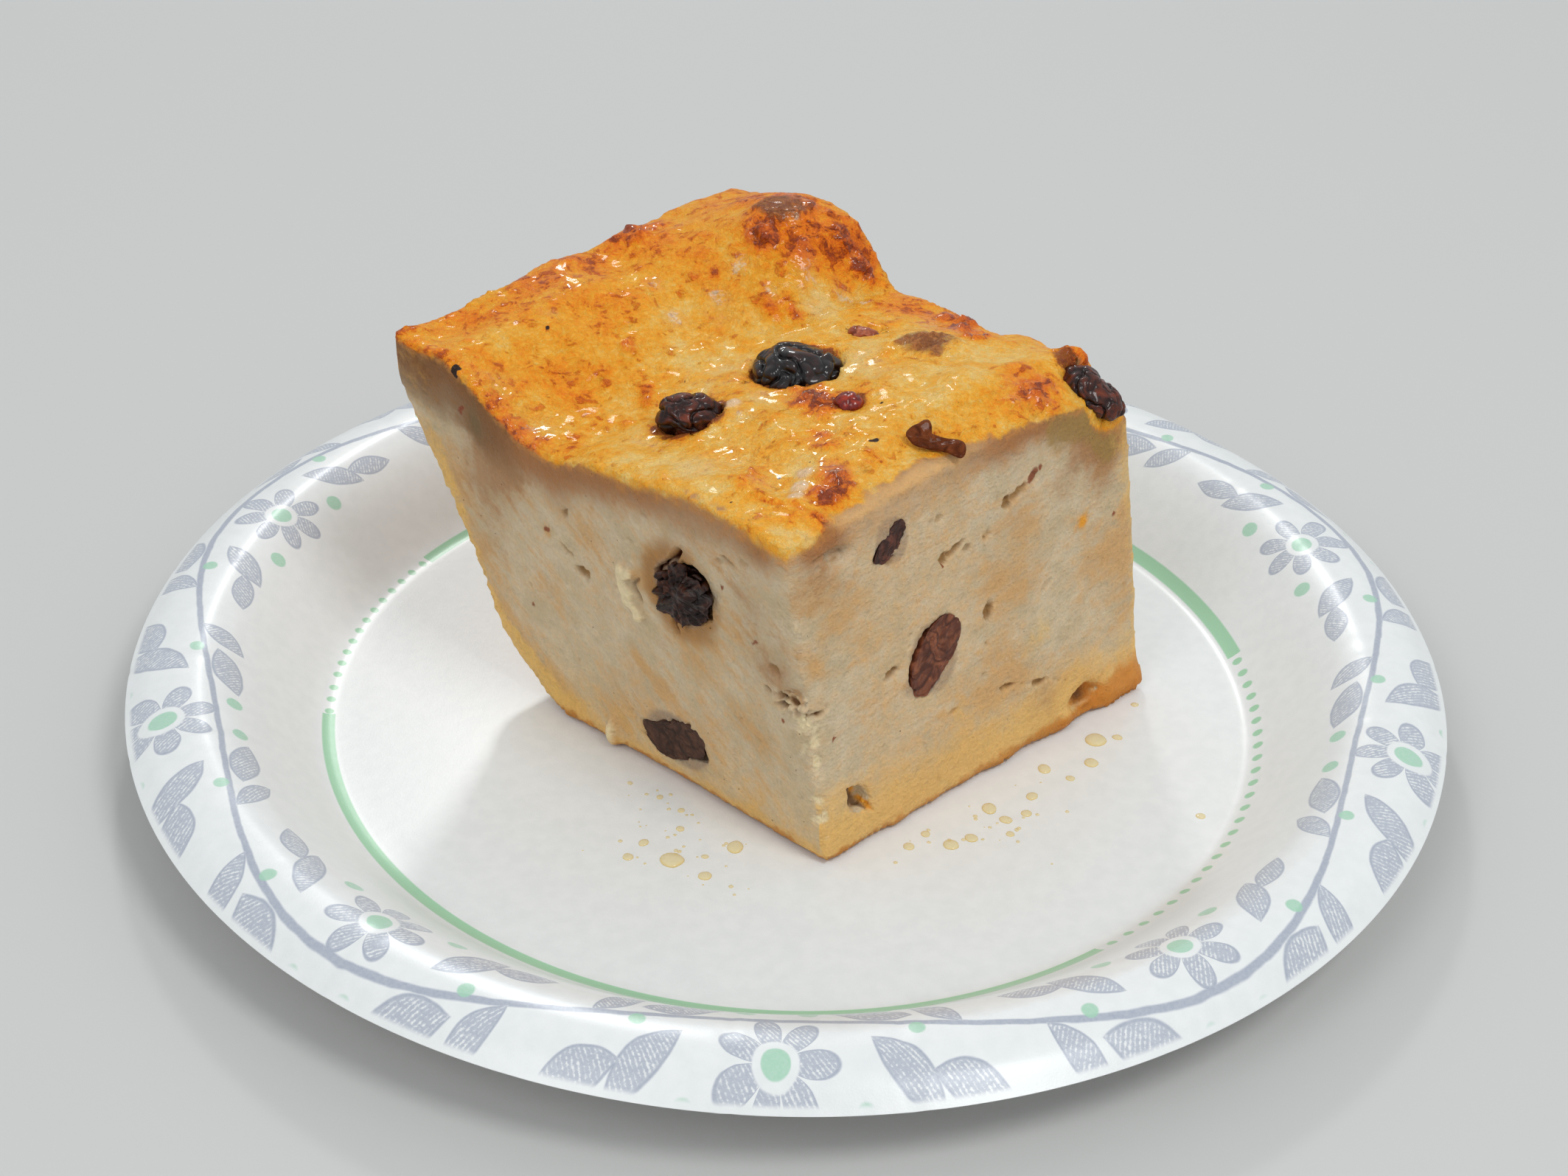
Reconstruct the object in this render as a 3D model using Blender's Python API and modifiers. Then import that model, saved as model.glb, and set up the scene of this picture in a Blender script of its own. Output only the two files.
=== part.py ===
"""A square-cut piece of bread pudding with raisins, on a round pressed-paper plate.

Metres, +Z up. The origin is the middle of the plate's underside, and -Y is the front,
where the piece shows the upright edge between its two cut faces. A place in the piece
is given as (v, u, z): v along the right cut face and u along the left one, both from
the foot of the front edge, and z above the foot.
"""

from math import asin, cos, exp, radians, sin, tan

import bmesh
import bpy
from mathutils import Matrix, Vector, noise

# Plate: pressed paperboard, 8.5 inches across. Pairs are radius and height of its upper face
PLATE_RADIUS = 0.108
BOARD = 0.0007
WELL_EDGE = (0.0765, BOARD)
COVE = (0.0785, 0.0013)
WALL_FOOT = (0.0802, 0.0028)
WALL_MIDDLE = (0.0843, 0.0069)
WALL_HEAD = (0.0885, 0.0112)
CREST = (0.0975, 0.0160)
SHOULDER = (0.1042, 0.0146)
RIM_EDGE = (PLATE_RADIUS, 0.0118)
CREST_POINTS = 4
PLATE_STEPS = 72

# Piece of pudding: its foot on the plate and its two cut faces, seen from above
GAP = 0.0003  # clearance between pieces that touch
FRONT_FOOT = (0.0068, -0.0447)  # foot of the front upright edge
RIGHT_HEADING = radians(42.9)  # run of the right cut face, from the front edge
LEFT_HEADING = radians(139.1)  # run of the left cut face, from the front edge
LEAN = -0.135  # shift in X for each unit of height
RIGHT_LENGTH = 0.074
LEFT_FOOT_LENGTH = 0.054  # flat part of the left face's foot, before the pan's corner
MIDDLE_HEIGHT = 0.060
EDGE_ROUND = 0.0012
GRID = (26, 28, 18)  # cells of the surface along v, u and z

# The baking pan's wall, which shaped the side away from both cut faces
PAN_CORNER_RADIUS = 0.0195
PAN_SLOPE = radians(75)
LIP_BULGE = 0.0024  # the crust overhangs the wall by this much below its top edge
LIP_HEIGHTS = (0.037, 0.049, 0.053, 0.063)  # the bulge grows, holds and rolls in
LIP_ROLL = 1.6  # how far it rolls in, as a share of the bulge
WALL_REACH = 0.55  # share of the depth beyond which the sides take the wall's heights

# Height of the top along each of its four edges, as (distance along the edge, height)
TOP_OVER_LEFT_FACE = (
    (0.000, 0.0575), (0.006, 0.0580), (0.014, 0.0584), (0.024, 0.0577), (0.033, 0.0563),
    (0.041, 0.0548), (0.0495, 0.0523), (0.057, 0.0533), (0.063, 0.0567), (0.068, 0.0601),
    (0.072, 0.0626), (0.080, 0.0609), (0.084, 0.0624),
)
TOP_OVER_RIGHT_FACE = (
    (0.000, 0.0575), (0.008, 0.0580), (0.013, 0.0569), (0.025, 0.0584), (0.036, 0.0591),
    (0.048, 0.0599), (0.055, 0.0593), (0.064, 0.0579), (0.069, 0.0555), (0.074, 0.0542),
)
TOP_OVER_PAN_WALL = (
    (0.000, 0.0624), (0.010, 0.0616), (0.025, 0.0638), (0.034, 0.0645), (0.043, 0.0640),
    (0.074, 0.0632),
)
TOP_OVER_BACK_FACE = (
    (0.000, 0.0542), (0.004, 0.0568), (0.009, 0.0606), (0.015, 0.0594), (0.020, 0.0597),
    (0.024, 0.0584), (0.041, 0.0590), (0.052, 0.0588), (0.065, 0.0600), (0.084, 0.0632),
)

# Swollen lump over the far corner: it rises between these distances, then falls again
PEAK_HEIGHT = 0.0112
PEAK_RISE_U = (0.047, 0.056)
PEAK_RISE_V = (0.036, 0.066)
PEAK_FALL_U = (0.062, 0.084)
PEAK_FALL = 0.72

# Unevenness of the surface: height, width, and where in the noise it is taken from
SIDE_WAVES = (0.0004, 0.016, (0, 0, 0))
CRUST_LUMPS = (0.0011, 0.0085, (3, 7, 1))
CRUST_BUMPS = (0.0006, 0.0040, (9, 2, 5))
FOOT_LIP = 0.0007  # the foot stands out by this much
FOOT_LIP_HEIGHTS = (0.0008, 0.0040)

# Crags of the crust: v, u, radius and height
CRAGS = (
    (0.0166, 0.0075, 0.0032, 0.0014), (0.0120, 0.0040, 0.0022, 0.0009),
    (0.0088, 0.0154, 0.0028, 0.0012), (0.0272, 0.0604, 0.0026, 0.0012),
    (0.0477, 0.0800, 0.0040, 0.0012), (0.0597, 0.0634, 0.0036, 0.0013),
    (0.0582, 0.0269, 0.0044, 0.0012), (0.0661, 0.0648, 0.0040, 0.0010),
    (0.0700, 0.0180, 0.0034, 0.0010), (0.0712, 0.0082, 0.0036, 0.0024),
    (0.0520, 0.0130, 0.0040, 0.0008), (0.0343, 0.0204, 0.0020, 0.0006),
)

# Raisins on the crust, and those that the knife laid bare: middle, half sizes, turn in degrees
BAKED_RAISINS = {
    "raisin_top_large": ((0.0392, 0.0362, 0.0586), (0.0071, 0.0060, 0.0042), (0, 0, 6)),
    "raisin_top_small": ((0.0190, 0.0386, 0.0570), (0.0056, 0.0040, 0.0034), (0, 0, 16)),
    "raisin_top_piece": ((0.0343, 0.0204, 0.0606), (0.0019, 0.0016, 0.0015), (0, 0, -20)),
    "raisin_top_sliver": ((0.0548, 0.0370, 0.0597), (0.0026, 0.0012, 0.0011), (0, 0, -28)),
    "raisin_corner": ((0.0690, 0.0034, 0.0572), (0.0062, 0.0042, 0.0030), (4, 27, -26)),
}
CUT_RAISINS = {
    "raisin_left_upper": ((0.0010, 0.0238, 0.0392), (0.0026, 0.0040, 0.0046), (0, 0, 43)),
    "raisin_left_lower": ((0.0012, 0.0302, 0.0084), (0.0026, 0.0056, 0.0034), (-28, 0, 49)),
    "raisin_right_middle": ((0.0266, 0.0010, 0.0270), (0.0034, 0.0024, 0.0055), (0, 24, 43)),
    "raisin_right_upper": ((0.0203, 0.0008, 0.0508), (0.0022, 0.0018, 0.0033), (0, 24, 43)),
}
SMALL_RAISIN = 0.0030  # raisins with a shorter half length get fewer facets
FOLD_SCALE = 1.7
FOLD_DEPTH = 0.16
FOLD_EASE = 0.35
RAISIN_BODY = 0.84

# Dried chip on the crust, near the right face: a flat oval whose ends bend up
CHIP = ((0.0345, 0.0036, 0.0612), (0.0048, 0.0023, 0.0015), (8, 12, -20))
CHIP_BEND = 0.55
CHIP_FLAT_SHARE = 0.3
CHIP_RAGGED = 0.18
CHIP_RAGGED_SCALE = 2.3
CHIP_ROOM = (1.20, 1.25, 1.10)  # its pocket, as shares of its half sizes

# Cavities that the knife opened: middle, half sizes, turn in degrees
CAVITIES = {
    "cavity_low": ((0.0082, 0.0000, 0.0086), (0.0016, 0.0026, 0.0024), (0, -30, 43)),
    "cavity_foot": ((0.0596, -0.0004, 0.0040), (0.0040, 0.0024, 0.0017), (0, -6, 43)),
    "cavity_under_crust": ((0.0097, 0.0000, 0.0522), (0.0025, 0.0022, 0.0012), (0, 12, 43)),
    "cavity_front_edge": ((0.0000, 0.0026, 0.0306), (0.0014, 0.0030, 0.0010), (-24, 0, 49)),
}
FACET_MARGIN = 1.09  # a coarse ball's flat facets lie this much inside its corners

# Colours, linear
PAPER_WHITE = (0.86, 0.87, 0.86)
CUSTARD = (0.62, 0.50, 0.33)
BAKED_RAISIN = (0.030, 0.012, 0.010)
CUT_RAISIN = (0.070, 0.026, 0.022)
CHIP_BROWN = (0.19, 0.065, 0.028)

RIGHT_RUN = Vector((cos(RIGHT_HEADING), sin(RIGHT_HEADING), 0))
LEFT_RUN = Vector((cos(LEFT_HEADING), sin(LEFT_HEADING), 0))
FOOT = Vector((*FRONT_FOOT, BOARD + GAP))
LEFT_LENGTH = TOP_OVER_LEFT_FACE[-1][0]


def smooth(value, low, high):
    """0 below low, 1 above high, and an S-curve between."""
    share = min(1.0, max(0.0, (value - low) / (high - low)))
    return share * share * (3 - 2 * share)


def height_along(profile, distance):
    """Height of an edge profile at a distance, eased between its points."""
    for (start, low), (end, high) in zip(profile, profile[1:]):
        if distance <= end:
            return low + (high - low) * smooth(distance, start, end)
    return profile[-1][1]


def pan_wall(share):
    """Distance u and height z, at a share of the way up the pan's wall."""
    arc = PAN_CORNER_RADIUS * PAN_SLOPE
    arc_height = PAN_CORNER_RADIUS * (1 - cos(PAN_SLOPE))
    rise = TOP_OVER_PAN_WALL[0][1] - arc_height
    travel = share * (arc + rise / sin(PAN_SLOPE))
    if travel <= arc:
        angle = travel / PAN_CORNER_RADIUS
        reach = LEFT_FOOT_LENGTH + PAN_CORNER_RADIUS * sin(angle)
        return reach, PAN_CORNER_RADIUS * (1 - cos(angle))
    height = arc_height + (travel - arc) * sin(PAN_SLOPE)
    reach = LEFT_FOOT_LENGTH + PAN_CORNER_RADIUS * sin(PAN_SLOPE)
    reach += (height - arc_height) / tan(PAN_SLOPE)
    grow, hold, roll, end = LIP_HEIGHTS
    bulge = smooth(height, grow, hold) - LIP_ROLL * smooth(height, roll, end)
    return reach + LIP_BULGE * bulge, height


def peak_height(v, u):
    """Height of the swollen lump over the far corner."""
    rise = smooth(u, *PEAK_RISE_U) * smooth(v, *PEAK_RISE_V)
    return PEAK_HEIGHT * rise * (1 - PEAK_FALL * smooth(u, *PEAK_FALL_U))


def crag_height(v, u):
    """Height of the crags at a place on the top."""
    return sum(
        height * exp(-((v - at_v) ** 2 + (u - at_u) ** 2) / radius**2)
        for at_v, at_u, radius, height in CRAGS
    )


def top_height(v, u):
    """Height of the top: a surface through its four edges, with the lump and the crags."""
    across = v / RIGHT_LENGTH
    back = u / LEFT_LENGTH
    height = (1 - across) * height_along(TOP_OVER_LEFT_FACE, u)
    height += across * height_along(TOP_OVER_BACK_FACE, u)
    height += (1 - back) * height_along(TOP_OVER_RIGHT_FACE, v)
    height += back * height_along(TOP_OVER_PAN_WALL, v)
    height -= (1 - across) * (1 - back) * TOP_OVER_LEFT_FACE[0][1]
    height -= across * (1 - back) * TOP_OVER_RIGHT_FACE[-1][1]
    height -= (1 - across) * back * TOP_OVER_PAN_WALL[0][1]
    height -= across * back * TOP_OVER_PAN_WALL[-1][1]
    return height + peak_height(v, u) + crag_height(v, u)


def place(v, u, z):
    """World point of a place in the piece."""
    return FOOT + v * RIGHT_RUN + u * LEFT_RUN + Vector((LEAN * z, 0, z))


def round_edges(point, size):
    """A point of a box's surface moved onto the box with rounded edges, and its normal."""
    inner = Vector(
        min(max(value, EDGE_ROUND), side - EDGE_ROUND) for value, side in zip(point, size)
    )
    normal = (point - inner).normalized()
    return inner + EDGE_ROUND * normal, normal


def unevenness(point, relief):
    height, width, shift = relief
    return height * noise.noise(point / width + Vector(shift))


def crust_relief(point, normal):
    """How far the surface stands proud of the plain block at a world point."""
    low, high = FOOT_LIP_HEIGHTS
    lip = FOOT_LIP * (1 - smooth(point.z - FOOT.z, low, high)) * (1 - abs(normal.z))
    crust = unevenness(point, CRUST_LUMPS) + unevenness(point, CRUST_BUMPS)
    return unevenness(point, SIDE_WAVES) + crust * max(0.0, normal.z) + lip


def pudding_point(s, t, w):
    """World point of the piece's surface for a point of the unit cube's surface."""
    size = Vector((RIGHT_LENGTH, LEFT_LENGTH, MIDDLE_HEIGHT))
    box_point, normal = round_edges(Vector((s * size.x, t * size.y, w * size.z)), size)
    s, t, w = (box_point[axis] / size[axis] for axis in range(3))
    reach, wall_height = pan_wall(w)
    v = s * RIGHT_LENGTH
    u = t * reach
    near_wall = smooth(t, WALL_REACH, 1.0)
    wall_share = wall_height / TOP_OVER_PAN_WALL[0][1]
    z = top_height(v, u) * ((1 - near_wall) * w + near_wall * wall_share)
    point = place(v, u, z)
    outward = normal.x * RIGHT_RUN + normal.y * LEFT_RUN + Vector((0, 0, normal.z))
    underside = smooth(-normal.z, 0.0, 0.5)
    point += crust_relief(point, normal) * (1 - underside) * outward
    point.z = max(point.z, FOOT.z)
    return point


def material(name, colour, roughness, coat=0.0):
    made = bpy.data.materials.new(name)
    made.use_nodes = True
    shader = made.node_tree.nodes["Principled BSDF"]
    shader.inputs["Base Color"].default_value = (*colour, 1)
    shader.inputs["Roughness"].default_value = roughness
    shader.inputs["Metallic"].default_value = 0.0
    shader.inputs["Coat Weight"].default_value = coat
    made.diffuse_color = (*colour, 1)
    return made


def collection(name):
    made = bpy.data.collections.new(name)
    bpy.context.scene.collection.children.link(made)
    return made


def mesh_object(name, build, where, finish=None):
    """An object whose mesh the function build fills in."""
    mesh = bpy.data.meshes.new(name)
    shape = bmesh.new()
    build(shape)
    shape.to_mesh(mesh)
    shape.free()
    made = bpy.data.objects.new(name, mesh)
    where.objects.link(made)
    if finish:
        mesh.materials.append(finish)
    mesh.shade_smooth()
    mesh.set_sharp_from_angle(angle=radians(50))
    return made


def arc_points(start, through, end, count):
    """Points of the circle through three (radius, height) pairs, after the first pair."""
    a, b, c = (complex(*pair) for pair in (start, through, end))
    ratio = (c - a) / (b - a)
    centre = a + (b - a) * (ratio - abs(ratio) ** 2) / (2j * ratio.imag)
    angle = asin(((c - centre) / (a - centre)).imag)
    turned = [
        centre + (a - centre) * complex(cos(step * angle / count), sin(step * angle / count))
        for step in range(1, count + 1)
    ]
    return [(point.real, point.imag) for point in turned]


def build_plate(where, finish):
    """The plate is a turned section of its upper face, given the board's thickness."""
    crown = arc_points(WALL_HEAD, CREST, SHOULDER, CREST_POINTS)
    section = [(0.0, BOARD), WELL_EDGE, COVE, WALL_FOOT, WALL_MIDDLE, WALL_HEAD]
    section += crown + [RIM_EDGE]

    def profile(shape):
        points = [shape.verts.new((radius, 0, height)) for radius, height in section]
        for inner, outer in zip(points, points[1:]):
            shape.edges.new((inner, outer))

    plate = mesh_object("plate", profile, where, finish)
    turned = plate.modifiers.new("turn", "SCREW")
    turned.steps = turned.render_steps = PLATE_STEPS
    turned.use_merge_vertices = True
    turned.merge_threshold = 0.00005
    turned.use_smooth_shade = True
    board = plate.modifiers.new("board", "SOLIDIFY")
    board.thickness = BOARD
    board.offset = -1
    return plate


def build_block(shape):
    """A cube cut into a grid, with each point moved onto the piece's surface."""
    bmesh.ops.create_cube(shape, size=1, matrix=Matrix.Translation((0.5, 0.5, 0.5)))
    for axis, cells in enumerate(GRID):
        along = [
            edge
            for edge in shape.edges
            if abs(edge.verts[0].co[axis] - edge.verts[1].co[axis]) > 0.5
        ]
        bmesh.ops.subdivide_edges(shape, edges=along, cuts=cells - 1, use_grid_fill=True)
    for vertex in shape.verts:
        vertex.co = pudding_point(*vertex.co)
    under = [
        face
        for face in shape.faces
        if all(vertex.co.z < FOOT.z + GAP / 100 for vertex in face.verts)
    ]
    bmesh.ops.dissolve_faces(shape, faces=under)
    bmesh.ops.recalc_face_normals(shape, faces=shape.faces)


def set_in_place(thing, local, turn):
    thing.location = place(*local)
    thing.rotation_euler = [radians(angle) for angle in turn]
    return thing


def build_raisin(name, middle, half_sizes, turn, where, finish):
    """A ball pressed into an ellipsoid, with sunken folds round it."""
    seed = 1000 * Vector(middle)

    def shrivelled(shape):
        fine = 3 if half_sizes[0] > SMALL_RAISIN or half_sizes[2] > SMALL_RAISIN else 2
        bmesh.ops.create_icosphere(shape, subdivisions=fine, radius=1)
        for vertex in shape.verts:
            fold = min(abs(noise.noise(vertex.co * FOLD_SCALE + seed)) / FOLD_EASE, 1.0)
            vertex.co *= RAISIN_BODY + FOLD_DEPTH * fold
        shape.transform(Matrix.Diagonal((*half_sizes, 1)))

    return set_in_place(mesh_object(name, shrivelled, where, finish), middle, turn)


def build_chip(where, finish):
    """A flat oval with a ragged outline, bent up at both ends."""
    middle, half_sizes, turn = CHIP

    def curled(shape):
        bmesh.ops.create_icosphere(shape, subdivisions=3, radius=1)
        for vertex in shape.verts:
            x, y, z = vertex.co
            outline = noise.noise(Vector((x, y, 0)) * CHIP_RAGGED_SCALE + Vector((4, 4, 4)))
            ragged = 1 + CHIP_RAGGED * outline
            lift = CHIP_BEND * (x * x - CHIP_FLAT_SHARE)
            vertex.co = Vector((x * ragged, y * ragged, z + lift))
        shape.transform(Matrix.Diagonal((*half_sizes, 1)))

    return set_in_place(mesh_object("chip", curled, where, finish), middle, turn)


def build_cutter(name, middle, half_sizes, turn, where):
    """A coarse ball that opens a pocket or a cavity in the block."""

    def ball(shape):
        bmesh.ops.create_icosphere(shape, subdivisions=2, radius=FACET_MARGIN)
        roomy = [half + GAP for half in half_sizes]
        shape.transform(Matrix.Diagonal((*roomy, 1)))

    made = set_in_place(mesh_object(name, ball, where), middle, turn)
    made.hide_render = True
    made.display_type = "WIRE"
    return made


def cut(target, cutter):
    pocket = target.modifiers.new(cutter.name, "BOOLEAN")
    pocket.operation = "DIFFERENCE"
    pocket.object = cutter
    pocket.solver = "EXACT"


def main():
    for thing in list(bpy.data.objects):
        bpy.data.objects.remove(thing)
    parts = collection("bread_pudding_on_plate")
    cutters = collection("cutters")
    build_plate(parts, material("coated_paper", PAPER_WHITE, 0.35))
    custard = material("baked_custard", CUSTARD, 0.5)
    pudding = mesh_object("pudding", build_block, parts, custard)

    glossy = material("baked_raisin_skin", BAKED_RAISIN, 0.25, coat=0.5)
    matte = material("cut_raisin_flesh", CUT_RAISIN, 0.5)
    for raisins, finish in ((BAKED_RAISINS, glossy), (CUT_RAISINS, matte)):
        for name, (middle, half_sizes, turn) in raisins.items():
            build_raisin(name, middle, half_sizes, turn, parts, finish)
            cut(pudding, build_cutter("cut_" + name, middle, half_sizes, turn, cutters))
    for name, (middle, half_sizes, turn) in CAVITIES.items():
        cut(pudding, build_cutter(name, middle, half_sizes, turn, cutters))

    build_chip(parts, material("dried_chip", CHIP_BROWN, 0.4))
    middle, half_sizes, turn = CHIP
    room = [half * share for half, share in zip(half_sizes, CHIP_ROOM)]
    cut(pudding, build_cutter("cut_chip", middle, room, turn, cutters))


main()
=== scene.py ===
from math import atan2, cos, degrees, pi, radians, sin

import bmesh
import bpy
import numpy as np
from mathutils import Matrix, Vector, noise
from mathutils.bvhtree import BVHTree


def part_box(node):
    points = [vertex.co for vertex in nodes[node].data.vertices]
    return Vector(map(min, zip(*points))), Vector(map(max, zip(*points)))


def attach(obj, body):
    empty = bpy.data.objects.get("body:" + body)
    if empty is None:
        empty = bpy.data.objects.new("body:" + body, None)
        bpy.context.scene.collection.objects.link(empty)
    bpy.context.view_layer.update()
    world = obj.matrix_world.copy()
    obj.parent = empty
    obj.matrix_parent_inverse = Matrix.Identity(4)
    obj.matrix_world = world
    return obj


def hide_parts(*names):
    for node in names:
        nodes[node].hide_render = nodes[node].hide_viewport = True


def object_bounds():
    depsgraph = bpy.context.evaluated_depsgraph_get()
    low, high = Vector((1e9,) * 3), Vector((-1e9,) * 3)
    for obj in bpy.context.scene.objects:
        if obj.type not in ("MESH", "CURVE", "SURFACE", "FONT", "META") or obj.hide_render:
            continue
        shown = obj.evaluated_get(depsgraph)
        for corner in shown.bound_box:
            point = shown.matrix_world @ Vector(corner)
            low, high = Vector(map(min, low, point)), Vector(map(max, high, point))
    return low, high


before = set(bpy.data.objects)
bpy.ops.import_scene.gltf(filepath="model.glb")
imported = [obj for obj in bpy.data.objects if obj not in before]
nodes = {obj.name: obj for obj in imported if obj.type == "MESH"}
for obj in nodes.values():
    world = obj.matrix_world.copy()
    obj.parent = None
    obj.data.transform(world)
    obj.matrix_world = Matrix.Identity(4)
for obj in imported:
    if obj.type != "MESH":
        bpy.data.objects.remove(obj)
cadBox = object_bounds()
mm = 0.001
print("frame loaded:", len(nodes), "nodes")


# Camera

camera = {
    "position": (0.0, -0.325202, 0.237116),
    "forward": (-0.00238, 0.83461, -0.55084),
    "up": (-0.02915, 0.55055, 0.83429),
    "lens": 54.16,
    "sensor": 36.0,
}


def placeCamera():
    data = bpy.data.cameras.new("camera")
    data.lens = camera["lens"]
    data.sensor_width = camera["sensor"]
    data.clip_start, data.clip_end = 0.01, 20.0
    forward = Vector(camera["forward"]).normalized()
    right = forward.cross(Vector(camera["up"])).normalized()
    up = right.cross(forward)
    turn = Matrix((right, up, -forward)).transposed().to_4x4()
    made = bpy.data.objects.new("camera", data)
    bpy.context.scene.collection.objects.link(made)
    made.matrix_world = Matrix.Translation(camera["position"]) @ turn
    bpy.context.scene.camera = made


placeCamera()


# Shader maths: a Wire is one output socket, and arithmetic on it adds Math nodes

class Wire:
    def __init__(self, shader, socket):
        self.shader = shader
        self.socket = socket

    def __add__(self, other): return self.shader.math("ADD", self, other)
    def __radd__(self, other): return self.shader.math("ADD", other, self)
    def __sub__(self, other): return self.shader.math("SUBTRACT", self, other)
    def __rsub__(self, other): return self.shader.math("SUBTRACT", other, self)
    def __mul__(self, other): return self.shader.math("MULTIPLY", self, other)
    def __rmul__(self, other): return self.shader.math("MULTIPLY", other, self)
    def __truediv__(self, other): return self.shader.math("DIVIDE", self, other)
    def __rtruediv__(self, other): return self.shader.math("DIVIDE", other, self)
    def __pow__(self, other): return self.shader.math("POWER", self, other)
    def __mod__(self, other): return self.shader.math("FLOORED_MODULO", self, other)
    def __abs__(self): return self.shader.math("ABSOLUTE", self)
    def __lt__(self, other): return self.shader.math("LESS_THAN", self, other)
    def __gt__(self, other): return self.shader.math("GREATER_THAN", self, other)

    def ramp(self, low, high):  # 0 below low, 1 above high, an S-curve between
        return self.shader.add(
            "ShaderNodeMapRange", {"interpolation_type": "SMOOTHSTEP"},
            {0: self, 1: low, 2: high})

    def most(self, other): return self.shader.math("MAXIMUM", self, other)
    def least(self, other): return self.shader.math("MINIMUM", self, other)
    def sine(self): return self.shader.math("SINE", self)
    def cosine(self): return self.shader.math("COSINE", self)


class Shader:
    def __init__(self, name):
        self.material = bpy.data.materials.new(name)
        self.material.use_nodes = True
        self.tree = self.material.node_tree
        self.tree.nodes.clear()

    def add(self, kind, settings=None, inputs=None, output=0):
        node = self.tree.nodes.new(kind)
        for name, value in (settings or {}).items():
            if name == "stops":
                self.fillRamp(node.color_ramp, value)
            else:
                setattr(node, name, value)
        for key, value in (inputs or {}).items():
            socket = node.inputs[key]
            if isinstance(value, Wire):
                self.tree.links.new(value.socket, socket)
            elif socket.type == "RGBA" and len(value) == 3:
                socket.default_value = (*value, 1.0)
            else:
                socket.default_value = value
        return Wire(self, node.outputs[output] if node.outputs else None)

    def fillRamp(self, ramp, stops):
        while len(ramp.elements) < len(stops):
            ramp.elements.new(0.5)
        for element, (position, colour) in zip(ramp.elements, stops):
            element.position = position
            element.color = (*colour, 1.0)

    def math(self, operation, *values):
        return self.add("ShaderNodeMath", {"operation": operation}, dict(enumerate(values)))

    def vector(self, operation, first, second):
        key = 3 if operation == "SCALE" else 1
        return self.add("ShaderNodeVectorMath", {"operation": operation}, {0: first, key: second})

    def blend(self, factor, first, second, how="MIX"):
        settings = {"data_type": "RGBA", "blend_type": how}
        return self.add("ShaderNodeMix", settings, {0: factor, 6: first, 7: second}, 2)

    def attribute(self, name, output=2):
        return self.add("ShaderNodeAttribute", {"attribute_name": name}, output=output)

    def place(self):  # place on the object, in millimetres
        return self.vector("SCALE", self.add("ShaderNodeTexCoord", output=3), 1000.0)

    def split(self, vector):
        first = self.add("ShaderNodeSeparateXYZ", inputs={0: vector})
        return [Wire(self, socket) for socket in first.socket.node.outputs]

    def join(self, x, y, z):
        return self.add("ShaderNodeCombineXYZ", inputs={0: x, 1: y, 2: z})

    def grain(self, place, width, detail=2.0, roughness=0.5, warp=0.0):  # noise from -1 to 1
        fac = self.add("ShaderNodeTexNoise", None, {
            "Vector": place, "Scale": 1.0 / width, "Detail": detail,
            "Roughness": roughness, "Distortion": warp})
        return (fac - 0.5) * 2.0

    def finish(self, surface, normal=None):
        values = dict(surface)
        if normal is not None:
            values["Normal"] = normal
        principled = self.add("ShaderNodeBsdfPrincipled", None, values)
        self.add("ShaderNodeOutputMaterial", None, {0: principled})
        return self.material

    def bump(self, height, distance, strength=1.0, normal=None):
        values = {"Height": height, "Distance": distance, "Strength": strength}
        if normal is not None:
            values["Normal"] = normal
        return self.add("ShaderNodeBump", None, values)


# Mesh helpers

def showMesh(name, mesh, finish):
    made = bpy.data.objects.new(name, mesh)
    bpy.context.scene.collection.objects.link(made)
    mesh.materials.clear()
    mesh.materials.append(finish)
    mesh.polygons.foreach_set("use_smooth", [True] * len(mesh.polygons))
    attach(made, "root")
    return made


def pointsOf(mesh):
    flat = np.empty(len(mesh.vertices) * 3)
    mesh.vertices.foreach_get("co", flat)
    return flat.reshape(-1, 3)


def normalsOf(mesh):
    flat = np.empty(len(mesh.vertices) * 3)
    mesh.vertex_normals.foreach_get("vector", flat)
    return flat.reshape(-1, 3)


def movePoints(mesh, points):
    mesh.vertices.foreach_set("co", points.ravel())
    mesh.update()


def storeMask(mesh, name, values):
    layer = mesh.attributes.new(name, "FLOAT", "POINT")
    layer.data.foreach_set("value", np.asarray(values, np.float32))


def storePlaces(mesh, name, values):
    layer = mesh.attributes.new(name, "FLOAT_VECTOR", "POINT")
    layer.data.foreach_set("vector", np.asarray(values, np.float32).ravel())


def evaluated(made):
    graph = bpy.context.evaluated_depsgraph_get()
    graph.update()
    return bpy.data.meshes.new_from_object(made.evaluated_get(graph))


def sharedCopy(node):  # the node's mesh with its split corners welded
    shape = bmesh.new()
    shape.from_mesh(nodes[node].data)
    bmesh.ops.remove_doubles(shape, verts=shape.verts, dist=1e-6)
    mesh = bpy.data.meshes.new(node + "_copy")
    shape.to_mesh(mesh)
    shape.free()
    return mesh


def withModifier(mesh, kind, **settings):
    helper = bpy.data.objects.new("helper", mesh)
    bpy.context.scene.collection.objects.link(helper)
    modifier = helper.modifiers.new("shape", kind)
    for name, value in settings.items():
        setattr(modifier, name, value)
    made = evaluated(helper)
    bpy.data.objects.remove(helper)
    bpy.data.meshes.remove(mesh)
    return made


def noiseAt(points, width, shift=0.0):
    return np.array([noise.noise(point) for point in (points / width + shift).tolist()])


def ease(values, low, high):
    share = np.clip((values - low) / (high - low), 0.0, 1.0)
    return share * share * (3 - 2 * share)


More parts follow.
